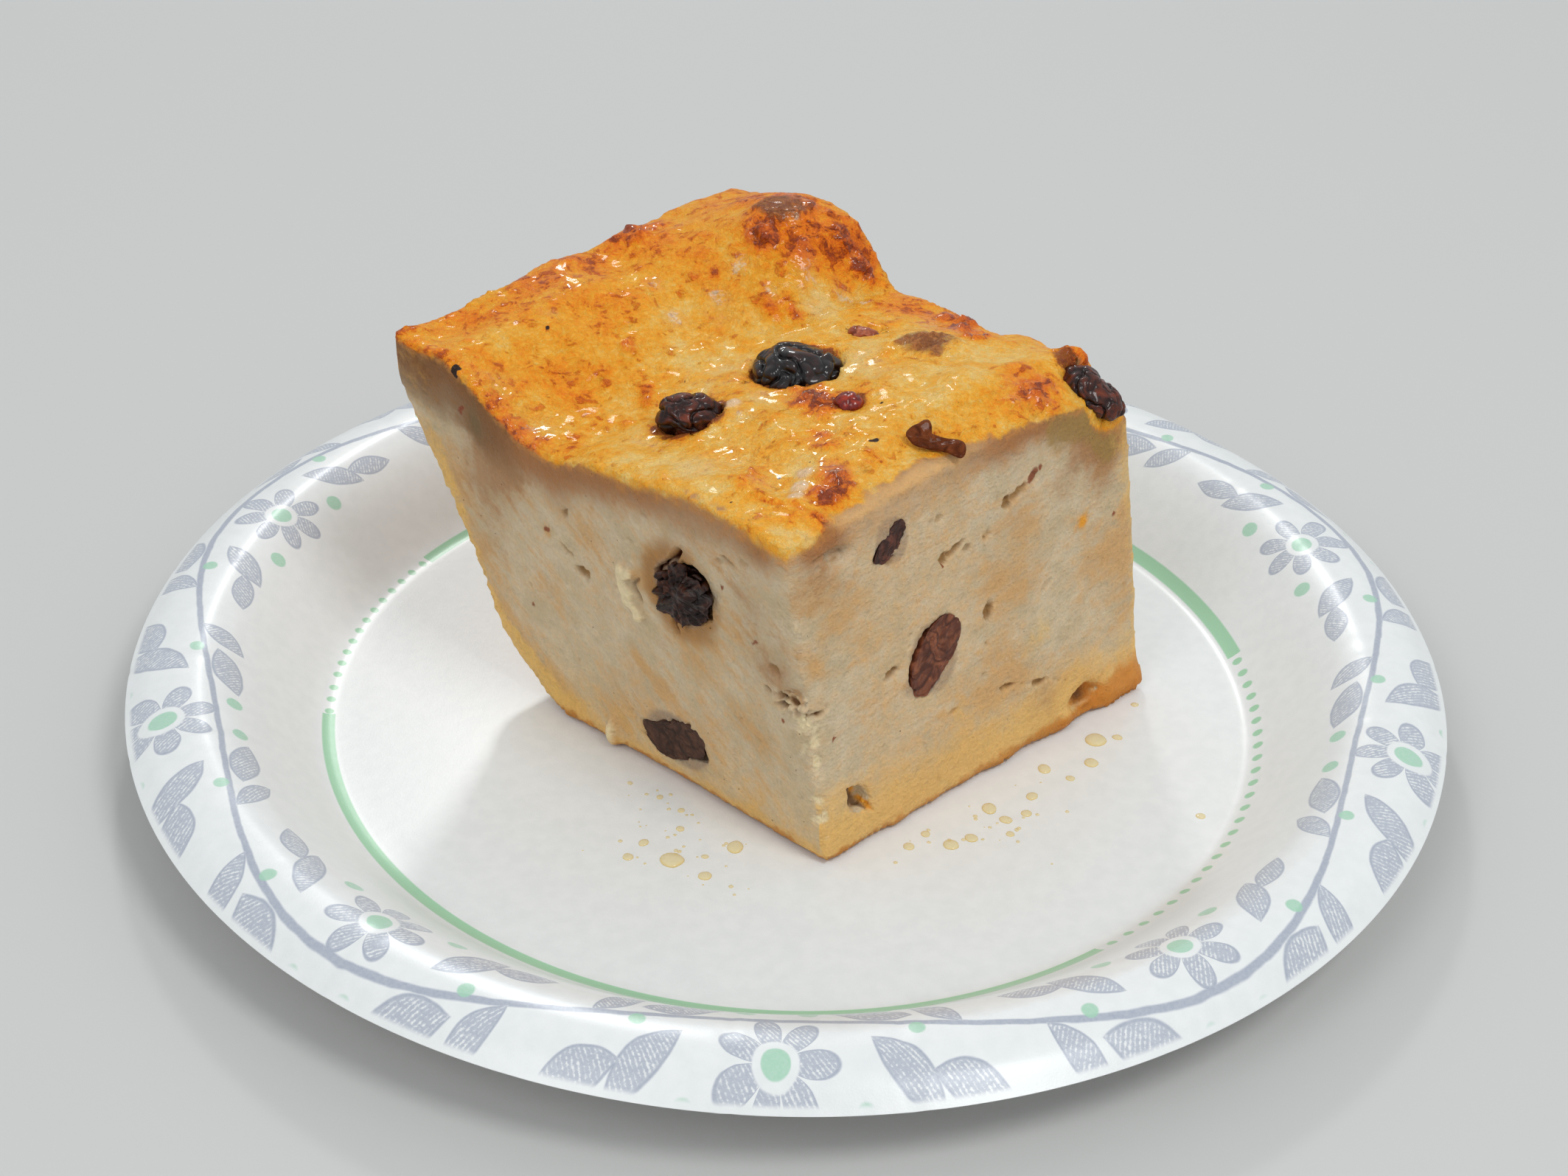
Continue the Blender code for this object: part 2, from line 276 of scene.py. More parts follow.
def nearSegment(points, start, end):  # distance of 2-D points from a segment
    start, end = np.array(start, float), np.array(end, float)
    run = end - start
    share = np.clip(((points - start) @ run) / (run @ run), 0, 1)
    return np.linalg.norm(points - start - share[:, None] * run, axis=1)


def nearLine(points, line):
    return np.min([nearSegment(points, a, b) for a, b in zip(line, line[1:])], axis=0)


# Pudding. Places are in millimetres from the foot of the front edge: v along the right cut,
# u along the left cut, z up

pudding = {
    "foot": (6.8, -44.7, 1.0),
    "rightHeading": 42.9,
    "leftHeading": 139.1,
    "lean": -0.135,
    "rightLength": 74.0,
    "topLength": 84.0,
    "voxel": 0.98,
    "quickVoxel": 1.3,
    "relaxRounds": 7,
    "pitShare": 0.65,
    "cornerStain": (68.4, 8.0, 2.1),  # v, u, radius of the dark patch beside the corner raisin
}

# Soft lumps and patches of the crust: v, u, radius, height, toasting
crustLumps = (
    (44.0, 81.5, 2.0, 0.3, 0.30), (63.7, 60.3, 4.2, 0.5, 0.30), (49.2, 52.0, 1.6, 0.4, 0.30),
    (16.2, 62.6, 3.0, 0.3, 0.22), (21.6, 51.1, 2.1, 0.4, 0.20), (1.0, 62.6, 2.0, 0.3, 0.20),
    (2.2, 56.5, 2.6, 0.3, 0.26), (3.2, 50.0, 2.8, 0.3, 0.26), (0.8, 69.0, 1.8, 0.3, 0.15),
    (66.5, 27.0, 2.6, 0.4, 0.26), (57.5, 3.6, 3.6, 0.4, 0.16), (71.5, 7.9, 3.4, 0.2, 0.46),
    (31.6, 27.6, 3.0, 0.4, 0.34), (29.8, 22.8, 2.6, 0.4, 0.34), (22.1, 18.6, 3.0, 0.3, 0.32),
    (24.0, 14.5, 2.6, 0.4, 0.32), (26.1, 7.1, 1.6, 0.4, 0.26), (15.8, 5.8, 3.4, 0.3, 0.26),
    (8.6, 15.8, 2.6, 0.3, 0.22), (36.0, 12.5, 3.2, 0.2, 0.10), (10.0, 30.0, 4.5, 0.2, 0.10),
    (25.5, 44.0, 2.2, 0.3, 0.12), (62.0, 48.0, 4.0, 0.2, 0.16), (68.0, 44.0, 3.0, 0.4, 0.22),
    (60.0, 36.5, 2.4, 0.3, 0.22), (33.0, 69.0, 3.0, 0.3, 0.12), (9.0, 56.0, 2.4, 0.3, 0.14),
    (58.0, 57.0, 5.0, 0.2, 0.20), (50.5, 49.6, 3.0, 0.2, 0.18), (30.0, 64.0, 4.0, 0.2, 0.10),
    (72.0, 22.0, 3.0, 0.4, 0.20), (12.0, 68.0, 4.0, 0.2, 0.12), (46.0, 80.0, 4.0, 0.4, 0.22),
)

# Crisp scabs where custard boiled up and scorched: v, u, radius, height, toasting
crustScabs = (
    (47.4, 80.6, 2.8, 0.55, 0.40), (57.2, 58.9, 1.9, 0.9, 0.46), (26.8, 60.2, 1.3, 1.2, 0.44),
    (51.4, 80.2, 1.6, 0.4, 0.30), (66.6, 62.4, 1.7, 1.1, 0.46), (67.6, 59.8, 1.2, 0.8, 0.40),
    (52.0, 48.9, 1.4, 0.7, 0.42), (49.6, 51.6, 1.0, 0.4, 0.24), (14.1, 48.3, 1.2, 0.5, 0.26),
    (22.2, 51.6, 1.2, 0.4, 0.20), (20.4, 50.0, 0.9, 0.4, 0.18), (72.2, 31.4, 1.4, 0.7, 0.44),
    (64.2, 21.8, 1.3, 0.8, 0.46), (66.8, 22.6, 0.9, 0.5, 0.36), (56.7, 4.9, 2.2, 0.6, 0.20),
    (51.8, 3.9, 1.5, 0.5, 0.20), (57.5, 1.8, 1.0, 0.4, 0.26), (60.6, 4.4, 1.4, 0.5, 0.18),
    (31.9, 24.6, 1.2, 0.5, 0.26), (33.6, 27.8, 1.0, 0.4, 0.24), (28.6, 20.6, 1.0, 0.5, 0.20),
    (22.9, 6.6, 1.0, 0.9, 0.40), (25.4, 6.4, 0.9, 0.4, 0.22), (18.6, 7.6, 1.1, 0.7, 0.36),
    (16.9, 6.2, 1.3, 0.8, 0.34), (15.0, 5.0, 1.2, 0.5, 0.30), (12.8, 6.6, 1.2, 0.8, 0.42),
    (13.4, 4.4, 1.0, 0.4, 0.28), (11.4, 17.6, 1.0, 1.0, 0.42), (9.2, 16.2, 0.9, 0.5, 0.28),
    (7.2, 15.0, 1.3, 0.3, 0.20), (25.6, 16.6, 1.2, 0.4, 0.24), (22.4, 13.6, 1.1, 0.4, 0.22),
    (66.0, 64.6, 1.6, 0.5, 0.20), (61.0, 55.0, 1.1, 0.4, 0.24), (69.5, 58.0, 1.2, 0.4, 0.22),
    (33.4, 22.4, 1.3, 0.5, 0.46), (3.4, 47.4, 1.0, 0.4, 0.22), (1.8, 53.4, 1.1, 0.4, 0.24),
    (33.2, 30.0, 1.7, 0.5, 0.34), (31.8, 27.2, 1.6, 0.5, 0.30), (33.5, 25.2, 1.4, 0.4, 0.40),
    (69.0, 51.0, 1.8, 0.9, 0.56), (68.0, 53.4, 1.4, 0.6, 0.44), (70.4, 34.4, 1.5, 0.6, 0.52),
    (68.6, 29.6, 1.6, 0.7, 0.60), (64.9, 24.0, 1.5, 0.6, 0.52), (48.0, 62.2, 0.8, 0.3, 0.40),
    (60.2, 54.4, 1.5, 0.3, 0.26), (56.8, 60.6, 2.2, 0.6, 0.44),
)

# Broad golden (below 0) and orange (above 0) places of the crust: v, u, radius, shift
crustTones = (
    (9.4, 70.9, 3.4, -0.16), (14.1, 71.6, 3.0, -0.14), (12.6, 60.1, 4.2, 0.20), (0.3, 58.2, 2.6, 0.22),
    (2.2, 62.6, 2.2, 0.16), (2.2, 53.1, 2.4, 0.18), (40.2, 55.9, 3.4, 0.22), (40.6, 46.3, 2.6, 0.16),
    (63.0, 66.0, 4.0, 0.16), (26.7, 80.3, 5.0, 0.22), (37.1, 80.2, 4.0, 0.22), (12.0, 81.0, 5.0, 0.18),
    (64.6, 55.7, 2.2, 0.34), (71.6, 52.9, 3.0, 0.38), (64.2, 52.1, 2.8, 0.26), (58.4, 53.4, 2.4, 0.24),
    (65.6, 40.8, 3.0, 0.28), (68.1, 37.8, 2.4, 0.32), (72.0, 32.2, 2.6, 0.36), (68.7, 26.2, 2.4, 0.34),
    (57.5, 7.1, 3.6, 0.26), (56.9, 2.8, 3.0, 0.22), (49.0, 3.8, 3.0, 0.20), (61.3, 4.8, 3.0, 0.26),
    (32.6, 27.4, 2.2, 0.36), (31.2, 21.9, 2.4, 0.34), (25.4, 17.8, 2.2, 0.26), (19.6, 8.9, 2.4, 0.36),
    (13.2, 6.0, 2.2, 0.30), (17.1, 5.7, 2.0, 0.28), (8.5, 2.3, 1.6, 0.30), (4.9, 9.8, 3.0, -0.10),
    (60.9, 17.5, 5.0, -0.10), (44.6, 19.2, 6.0, -0.08), (50.0, 62.0, 4.0, -0.14), (38.0, 62.5, 4.0, -0.12),
    (33.0, 50.0, 4.0, -0.06), (20.7, 59.5, 2.6, 0.08), (58.5, 49.9, 2.4, -0.10), (26.0, 30.0, 4.0, -0.06),
    (43.0, 36.0, 5.0, 0.10), (30.0, 70.0, 4.0, 0.10), (66.0, 74.0, 6.0, 0.16), (50.0, 74.0, 5.0, 0.12),
    (7.2, 4.2, 2.6, 0.15), (67.3, 47.7, 3.2, -0.20), (58.1, 46.9, 3.0, -0.10), (25.7, 35.2, 3.4, 0.12),
)

# Clusters of small wet glints: v, u, radius, strength. They raise fine wet bumps, and the shader paints
# whitish glare on them, a painted highlight
glints = (
    (40.2, 68.3, 1.6, 1.0), (37.6, 61.4, 2.0, 1.3), (45.4, 59.9, 1.9, 1.3), (51.2, 60.0, 1.7, 1.3),
    (58.3, 52.4, 1.9, 1.4), (51.1, 53.4, 1.3, 1.1), (62.0, 48.4, 1.9, 1.2), (33.0, 28.0, 3.0, 0.8),
    (64.6, 46.4, 1.4, 1.0), (22.6, 31.4, 1.6, 0.9), (62.4, 58.8, 1.2, 1.0),
    (18.0, 8.0, 4.0, 0.8), (10.0, 14.0, 3.0, 0.5), (26.0, 17.0, 3.0, 0.6), (57.0, 6.0, 4.0, 0.5),
    (3.0, 56.0, 4.0, 0.8), (4.0, 66.0, 4.0, 0.6), (64.4, 60.7, 3.0, 0.7), (20.0, 44.0, 4.0, 0.5),
    (14.0, 24.0, 4.0, 0.4), (12.0, 36.0, 4.0, 0.4), (66.0, 30.0, 5.0, 0.5), (30.0, 80.0, 6.0, 0.4),
)

# Brown bits in the cut faces: along the face, height, half length, half width, tilt
leftBits = (
    (53.2, 37.8, 0.8, 0.6, 0), (8.8, 37.3, 1.0, 0.35, -35), (14.3, 44.6, 0.5, 0.3, 30),
    (12.8, 36.3, 0.3, 0.25, 0), (69.5, 53.0, 1.3, 0.6, -40), (39.3, 45.6, 0.35, 0.25, 0),
    (5.0, 25.0, 0.25, 0.2, 0), (61.0, 20.0, 0.3, 0.2, 20), (44.0, 12.0, 0.25, 0.2, 0),
)
rightBits = (
    (50.6, 50.4, 1.5, 1.0, 50), (52.2, 51.2, 0.5, 0.4, 0), (68.5, 36.5, 0.6, 0.5, 0),
    (30.2, 42.2, 0.3, 0.25, 0), (4.5, 22.0, 0.22, 0.2, 0), (44.3, 21.4, 0.4, 0.3, 0),
)

# Smooth pale places of the crust: v, u, radius, strength
paleSpots = (
    (44.0, 56.0, 4.0, 0.4), (56.0, 47.0, 3.6, 0.5), (24.2, 34.6, 1.5, 1.3),
    (15.8, 11.6, 1.3, 1.5), (13.2, 9.8, 1.3, 1.5), (10.6, 8.4, 1.2, 1.4),
    (33.0, 43.0, 6.0, 0.5), (44.0, 28.0, 7.0, 0.4), (8.0, 24.0, 5.0, 0.5), (5.0, 5.0, 4.0, 0.4),
    (30.0, 33.0, 4.0, 0.4), (10.0, 40.0, 5.0, 0.3), (21.0, 70.0, 4.0, 0.25),
)

# Specks of spice and char on the crust: v, u, radius
crustSpecks = (
    (19.0, 69.1, 0.45), (0.6, 69.5, 0.9), (27.0, 48.7, 0.4), (28.1, 9.5, 0.55), (13.2, 14.2, 0.25),
    (3.3, 13.2, 0.22), (9.4, 13.0, 0.2), (36.5, 16.0, 0.2), (18.5, 34.5, 0.22), (41.0, 8.8, 0.2),
)

# Raisins just under the crust: v, u, radius
buriedRaisins = ((58.4, 23.6, 3.4), (55.0, 26.6, 3.2), (54.6, 22.8, 2.0), (64.6, 61.6, 3.8),
                 (61.6, 62.8, 3.0))
topRaisins = ("raisin_top_large", "raisin_top_small", "raisin_top_piece")

# Pits that the knife opened: along the face, height, half width, half height, tilt, depth
leftPits = (
    (48.1, 42.9, 1.1, 0.5, -50, 1.1), (49.5, 35.5, 1.4, 0.55, 25, 1.2),
    (46.6, 32.7, 1.5, 1.05, 0, 1.6), (12.5, 49.8, 1.5, 0.6, 20, 1.1),
    (9.0, 50.9, 1.1, 0.7, 0, 0.8), (5.5, 34.1, 1.0, 0.8, 30, 1.1), (14.1, 49.1, 0.8, 0.6, 0, 0.7),
    (45.6, 31.2, 0.4, 0.35, 0, 0.6), (38.5, 33.5, 0.6, 0.35, 40, 0.6),
    (29.0, 50.5, 0.7, 0.35, 40, 0.6), (20.3, 20.5, 0.6, 0.35, 20, 0.5),
    (33.0, 44.5, 0.9, 0.4, 40, 0.5), (61.0, 24.0, 0.6, 0.35, 50, 0.5),
    (37.5, 29.6, 0.9, 0.6, 20, 0.5), (44.0, 40.5, 1.2, 0.3, 35, 0.35),
    (17.0, 13.0, 0.8, 0.3, 25, 0.4), (8.0, 12.0, 0.9, 0.3, 15, 0.35),
)
rightPits = (
    (6.4, 53.2, 1.4, 0.4, 5, 0.9), (19.5, 47.4, 1.0, 0.7, 30, 0.9), (30.6, 43.3, 1.1, 1.0, 60, 1.5),
    (33.0, 43.9, 2.2, 0.75, 20, 1.4), (35.6, 43.2, 0.9, 0.7, 0, 0.9), (44.8, 47.8, 1.3, 1.0, 40, 1.6),
    (47.2, 48.5, 2.3, 0.8, 25, 1.3), (50.8, 50.0, 1.0, 1.1, 50, 0.6), (30.1, 50.6, 0.8, 0.7, 0, 0.8),
    (28.4, 50.9, 0.45, 0.6, 0, 0.5), (40.0, 43.9, 0.9, 0.6, 30, 0.7), (52.7, 43.4, 0.9, 0.5, 0, 0.5),
    (39.0, 30.1, 1.0, 1.6, -10, 1.8), (17.6, 27.9, 1.4, 0.85, 25, 1.4), (41.8, 14.4, 1.5, 0.6, -8, 1.0),
    (49.3, 11.9, 1.8, 0.7, -10, 1.3), (29.6, 15.2, 1.0, 0.55, 0, 0.7), (52.5, 29.5, 1.4, 0.6, 30, 0.6),
    (24.0, 38.0, 0.6, 0.35, 0, 0.45), (60.5, 47.8, 1.0, 0.45, 10, 0.5), (38.2, 24.6, 0.9, 0.4, 10, 0.4),
    (14.5, 40.5, 0.6, 0.4, 10, 0.45), (57.0, 20.5, 0.6, 0.35, 0, 0.5), (10.5, 39.4, 0.5, 0.3, 20, 0.4),
)

# Four-cornered hole low on the right cut near the front edge
cornerHole = ((5.9, 12.1), (8.8, 11.0), (11.0, 4.9), (7.2, 7.0))

# Dull brown places of the cuts: along the face, height, radius, strength
leftDusk = ((6.0, 34.0, 5.5, 0.8), (10.0, 45.0, 5.0, 0.5), (62.0, 48.0, 7.0, 1.0), (67.0, 40.0, 7.0, 0.7),
            (58.0, 54.0, 6.0, 0.8), (38.0, 49.0, 5.0, 0.3), (69.0, 28.0, 5.0, 0.4), (30.0, 28.0, 4.0, 0.3))
rightDusk = ((5.5, 50.0, 5.0, 0.6), (63.0, 51.0, 5.0, 0.9), (57.0, 46.0, 3.0, 0.5), (68.0, 49.0, 5.0, 0.8),
             (66.0, 43.0, 3.0, 0.4), (12.5, 46.0, 4.0, 0.3), (46.0, 44.0, 4.0, 0.3), (50.0, 8.0, 4.0, 0.5), (6.0, 22.0, 4.0, 0.3))

# A torn seam on the right cut
seam =((36.5, 15.6), (39.5, 15.0), (43.5, 14.2), (47.4, 12.7), (51.5, 11.6), (55.5, 9.4))

# Beige and orange places of the cut custard: along the face, height, radius, strength
leftWarm = (
    (44.0, 41.2, 3.0, 0.5), (36.0, 20.4, 2.2, 0.7), (32.0, 18.0, 2.6, 0.7), (24.4, 31.8, 3.0, 0.8),
    (22.0, 26.4, 3.2, 0.7), (13.6, 21.0, 3.6, 0.7), (10.0, 18.0, 3.0, 0.5), (53.1, 37.6, 0.7, 1.2),
    (30.5, 38.5, 3.0, 0.9), (28.0, 42.5, 2.4, 0.8), (26.0, 10.0, 6.0, 0.6), (42.0, 8.0, 7.0, 0.5),
    (60.0, 43.0, 3.5, 0.4), (12.0, 38.0, 3.0, 0.5), (18.0, 33.0, 3.0, 0.6), (55.0, 24.0, 4.0, 0.4),
)
rightWarm = (
    (3.2, 35.5, 2.2, 0.9), (37.4, 14.8, 3.2, 0.9), (47.0, 41.0, 4.5, 0.9), (41.0, 35.5, 4.0, 0.6),
    (70.0, 26.0, 2.8, 0.8), (71.0, 36.0, 2.0, 0.9), (5.5, 48.0, 4.5, 0.8), (46.0, 32.0, 4.0, 0.5),
    (44.0, 15.0, 5.0, 0.8), (31.0, 16.5, 3.0, 0.4), (8.0, 42.0, 4.0, 0.6), (13.0, 36.0, 4.0, 0.5),
    (62.0, 30.0, 3.5, 0.5), (66.0, 46.0, 3.0, 0.5), (57.0, 8.5, 5.0, 0.7), (40.0, 24.0, 4.0, 0.5),
    (69.0, 31.0, 5.0, 1.0), (70.0, 18.0, 4.0, 0.6),
    (25.0, 9.0, 5.0, 0.4), (61.0, 38.1, 1.0, 1.3),
)
yellowSpots = ((31.0, 14.6, 2.2, 0.8), (51.5, 22.0, 4.0, 0.7), (47.0, 20.5, 3.0, 0.6),
               (66.0, 50.0, 3.5, 0.5), (20.0, 9.0, 4.0, 0.5), (12.0, 4.0, 4.0, 0.6),
               (53.0, 6.0, 4.0, 0.5), (61.0, 37.8, 1.4, 0.9), (30.0, 31.8, 1.0, 0.7))

# Torn places of the front edge: u on the left cut less v on the right cut, height
upperTear = ((7.6, 29.3), (5.8, 29.1), (4.4, 29.6), (2.2, 29.2), (0.6, 29.8))
lowerTear = ((5.0, 28.0), (3.2, 28.3), (0.8, 27.6), (-0.8, 28.0), (-2.6, 27.6), (-3.8, 28.1))
cleft = ((27.2, 41.4), (25.6, 43.0), (24.2, 44.6), (23.2, 46.0), (22.4, 47.3))
cleftTail = ((25.9, 34.2), (26.0, 32.8), (25.7, 31.4))
curl = ((34.6, 38.2), (36.4, 37.4), (36.6, 35.6), (35.6, 34.0), (35.2, 32.2), (34.0, 31.0))
wrinkle = ((6.6, 11.5), (7.6, 9.0), (8.7, 6.4), (9.1, 3.4), (9.5, 1.0))

# Raisins that the knife laid bare: the outline that shows (along the face, height), how
# ragged it is, and how far the raisin stands out of the face.
# axis: 0 on the left cut, 1 on the right
cutRaisins = {
    "raisin_left_upper": {"axis": 0, "ragged": 0.7, "standOut": 0.40, "outline": (
        (28.3, 40.4), (26.4, 41.8), (24.4, 43.8), (21.8, 44.8), (19.4, 44.6), (17.6, 43.6),
        (17.0, 41.6), (17.8, 39.0), (18.8, 36.8), (21.0, 35.4), (23.6, 34.6), (25.8, 34.2),
        (27.6, 34.8), (28.3, 36.4), (29.6, 37.0), (28.4, 38.6))},
    "raisin_left_lower": {"axis": 0, "ragged": 0.35, "standOut": -0.02, "outline": (
        (37.4, 8.7), (35.4, 9.5), (33.2, 11.4), (29.8, 12.1), (26.8, 11.6), (24.6, 10.1),
        (23.5, 7.2), (25.2, 6.1), (27.6, 5.4), (30.6, 4.5), (34.4, 4.9), (36.7, 6.7))},
    "raisin_right_middle": {"axis": 1, "ragged": 0.25, "standOut": 0.0, "outline": (
        (25.4, 32.4), (27.6, 32.4), (30.2, 31.3), (31.8, 29.6), (31.3, 27.0), (29.2, 24.2),
        (26.6, 22.1), (24.6, 21.8), (23.1, 23.3), (22.2, 26.0), (22.5, 29.0), (23.7, 31.3))},
    "raisin_right_upper": {"axis": 1, "ragged": 0.35, "standOut": -0.05, "outline": (
        (20.2, 52.3), (21.6, 52.9), (22.9, 52.2), (22.8, 50.6), (21.8, 49.2), (20.0, 48.5),
        (17.8, 48.4), (17.3, 49.5), (18.5, 50.9), (19.4, 51.7))},
}


def closedCurve(points, steps):  # a smooth closed curve through the points
    points = np.array(points, float)
    made = []
    for index in range(len(points)):
        a, b, c, d = (points[(index + shift) % len(points)] for shift in (-1, 0, 1, 2))
        for step in range(steps):
            t = step / steps
            made.append(0.5 * (2 * b + (c - a) * t + (2 * a - 5 * b + 4 * c - d) * t ** 2
                               + (3 * b - a - 3 * c + d) * t ** 3))
    return np.array(made)


class LocalFrame:  # turns world metres into v, u, z millimetres and back
    def __init__(self, settings):
        right, left = radians(settings["rightHeading"]), radians(settings["leftHeading"])
        self.runs = np.array([[cos(right), cos(left)], [sin(right), sin(left)]])
        self.inverse = np.linalg.inv(self.runs)
        self.foot = np.array(settings["foot"])
        self.lean = settings["lean"]

    def local(self, points):
        away = points * 1000 - self.foot
        flat = away[:, :2] - np.outer(away[:, 2], (self.lean, 0.0))
        return np.column_stack([flat @ self.inverse.T, away[:, 2]])

    def world(self, places):
        places = np.atleast_2d(places)
        flat = places[:, :2] @ self.runs.T + np.outer(places[:, 2], (self.lean, 0.0))
        return (np.column_stack([flat, places[:, 2]]) + self.foot) * mm

    def turned(self, directions):  # share of each direction along the two runs
        return directions[:, :2] @ self.inverse.T


piece = LocalFrame(pudding)


def relax(points, pairs, weight, rounds):  # evens out the facets and keeps the size
    count = len(points)
    shared = np.bincount(pairs.ravel(), minlength=count)[:, None]
    for share in (0.5, -0.52) * rounds:
        around = np.column_stack([
            np.bincount(pairs[:, 0], points[pairs[:, 1], axis], count)
            + np.bincount(pairs[:, 1], points[pairs[:, 0], axis], count)
            for axis in range(3)])
        points = points + share * weight[:, None] * (around / shared - points)
    return points


def topHeights(mesh):  # height of the crust on a grid of v and u, one millimetre apart
    tree = BVHTree.FromPolygons(
        [vertex.co for vertex in mesh.vertices], [face.vertices for face in mesh.polygons])
    down = Vector((-pudding["lean"], 0, -1)).normalized()
    columns = int(pudding["rightLength"]) + 1
    rows = int(pudding["topLength"]) + 1
    start = 95.0
    heights = np.full((columns, rows), np.nan)
    for column in range(columns):
        for row in range(rows):
            v = min(max(column, 1.6), pudding["rightLength"] - 1.6)
            u = min(max(row, 1.6), pudding["topLength"] - 2.0)
            origin = Vector(piece.world((v, u, start))[0])
            hit = tree.ray_cast(origin, down)[0]
            if hit:
                heights[column, row] = hit.z / mm - pudding["foot"][2]
    for column in range(columns):  # beyond the crust's edge the last height goes on
        line = heights[column]
        known = np.flatnonzero(~np.isnan(line))
        heights[column] = np.interp(np.arange(rows), known, line[known])
    return heights


def sampleGrid(grid, v, u):
    v = np.clip(v, 0, grid.shape[0] - 1.001)
    u = np.clip(u, 0, grid.shape[1] - 1.001)
    column, row = v.astype(int), u.astype(int)
    across, along = v - column, u - row
    low = grid[column, row] * (1 - across) + grid[column + 1, row] * across
    high = grid[column, row + 1] * (1 - across) + grid[column + 1, row + 1] * across
    return low * (1 - along) + high * along


def spotSum(flat, spots, power=2.0):  # bell-shaped spots: two coordinates, radius, strength
    total = np.zeros(len(flat))
    for a, b, radius, strength in spots:
        near = np.hypot(flat[:, 0] - a, flat[:, 1] - b) / radius
        total += strength * np.exp(-near ** power)
    return total


def splitFaces(shape, chosen):  # cuts each chosen face into four
    edges = {edge for face in chosen for edge in face.edges}
    bmesh.ops.subdivide_edges(shape, edges=list(edges), cuts=1, use_grid_fill=True)


def nearFeature(places, closer):  # places on the cuts that need small faces
    v, u, z = places.T
    onLeft = v < 1.6
    onRight = u < 1.6
    tight = 0.4 * closer
    chosen = np.zeros(len(places), bool)
    for pits, on, along in ((leftPits, onLeft, u), (rightPits, onRight, v)):
        for a, b, wide, tall, tilt, depth in pits:
            reach = max(wide, tall) + 0.7 - tight
            if depth > 0.55 or not closer:
                chosen |= on & (np.hypot(along - a, z - b) < reach)
    edgeFlat = np.column_stack([u - v, z])
    chosen |= (onLeft | onRight) & (nearLine(edgeFlat, upperTear + lowerTear) < 1.8 - tight)
    chosen |= (u + v < 3.4 - 2 * tight) & (z < 29) & (z > 3)
    leftFlat = np.column_stack([u, z])
    for line, reach in ((cleft, 1.8), (cleftTail, 1.2), (curl, 2.4)):
        chosen |= onLeft & (nearLine(leftFlat, line) < reach - tight)
    chosen |= onRight & (nearLine(np.column_stack([v, z]), seam) < 1.0)
    chosen |= onRight & (insideDistance(np.column_stack([v, z]), cornerHole) > tight - 0.8) & (v < 20)
    if not closer:
        chosen |= onLeft & (np.hypot(u - 45.0, z - 2.5) < 3.4)
        chosen |= onRight & (np.hypot(v - 61.0, z - 3.5) < 4.5)
    for name, values in cutRaisins.items():
        middle, half = raisinPlace(name)
        face = places[:, values["axis"]] < 2.4
        along = 1 - values["axis"]
        near = np.hypot((places[:, along] - middle[along]) / (half[along] + 0.5),
                        (z - middle[2]) / (half[2] + 0.5))
        chosen |= face & (near < 1.5 - tight / 2) & (near > 0.5 + tight / 2)
    return chosen


def insideDistance(flat, corners):  # distance inward from a convex outline, corners clockwise
    away = np.full(len(flat), np.inf)
    for start, end in zip(corners, corners[1:] + corners[:1]):
        run = np.array(end) - start
        run = run / np.linalg.norm(run)
        away = np.minimum(away, (flat - start) @ (run[1], -run[0]))
    return away


def raisinPlace(name):  # middle and half sizes along v, u and z
    flat = piece.local(pointsOf(nodes[name].data))
    low, high = flat.min(0), flat.max(0)
    return (low + high) / 2, (high - low) / 2


def buildPuddingMesh(heights):
    size = pudding["voxel"]
    even = withModifier(sharedCopy("pudding"), "REMESH", mode="VOXEL",
                        voxel_size=size * mm, adaptivity=0.0)
    pairs = np.empty(len(even.edges) * 2, int)
    even.edges.foreach_get("vertices", pairs)
    points = pointsOf(even)
    places = piece.local(points)
    v, u, z = places.T
    depth = sampleGrid(heights, v, u) - z
    rim = np.minimum(np.minimum(v, u), pudding["rightLength"] - v)
    inside = ease(rim, 0.8, 3.5)
    weight = np.where(depth < 3.0, 0.35 + 0.65 * inside, 0.45 + 0.55 * inside * 0)
    weight = np.where(z < 1.0, 0.2, weight)
    points = relax(points, pairs.reshape(-1, 2), weight, pudding["relaxRounds"])
    movePoints(even, points)

    shape = bmesh.new()
    shape.from_mesh(even)
    bpy.data.meshes.remove(even)
    floor = (pudding["foot"][2] + 0.25) * mm
    under = [face for face in shape.faces
             if face.normal.z < -0.8 and all(vertex.co.z < floor for vertex in face.verts)]
    bmesh.ops.dissolve_faces(shape, faces=under)
    for level in range(2):
        shape.faces.ensure_lookup_table()
        middles = np.array([face.calc_center_median() for face in shape.faces])
        upward = np.array([face.normal.z for face in shape.faces])
        spots = piece.local(middles)
        depth = sampleGrid(heights, spots[:, 0], spots[:, 1]) - spots[:, 2]
        chosen = nearFeature(spots, level == 1)
        if level == 0:
            chosen |= (depth < 1.6) & (spots[:, 2] > 30)
        small = np.array([len(face.verts) <= 5 for face in shape.faces])
        faces = [shape.faces[int(index)] for index in np.flatnonzero(chosen & small)]
        splitFaces(shape, faces)
    mesh = bpy.data.meshes.new("bread_pudding")
    shape.to_mesh(mesh)
    shape.free()
    mesh.update()
    return mesh


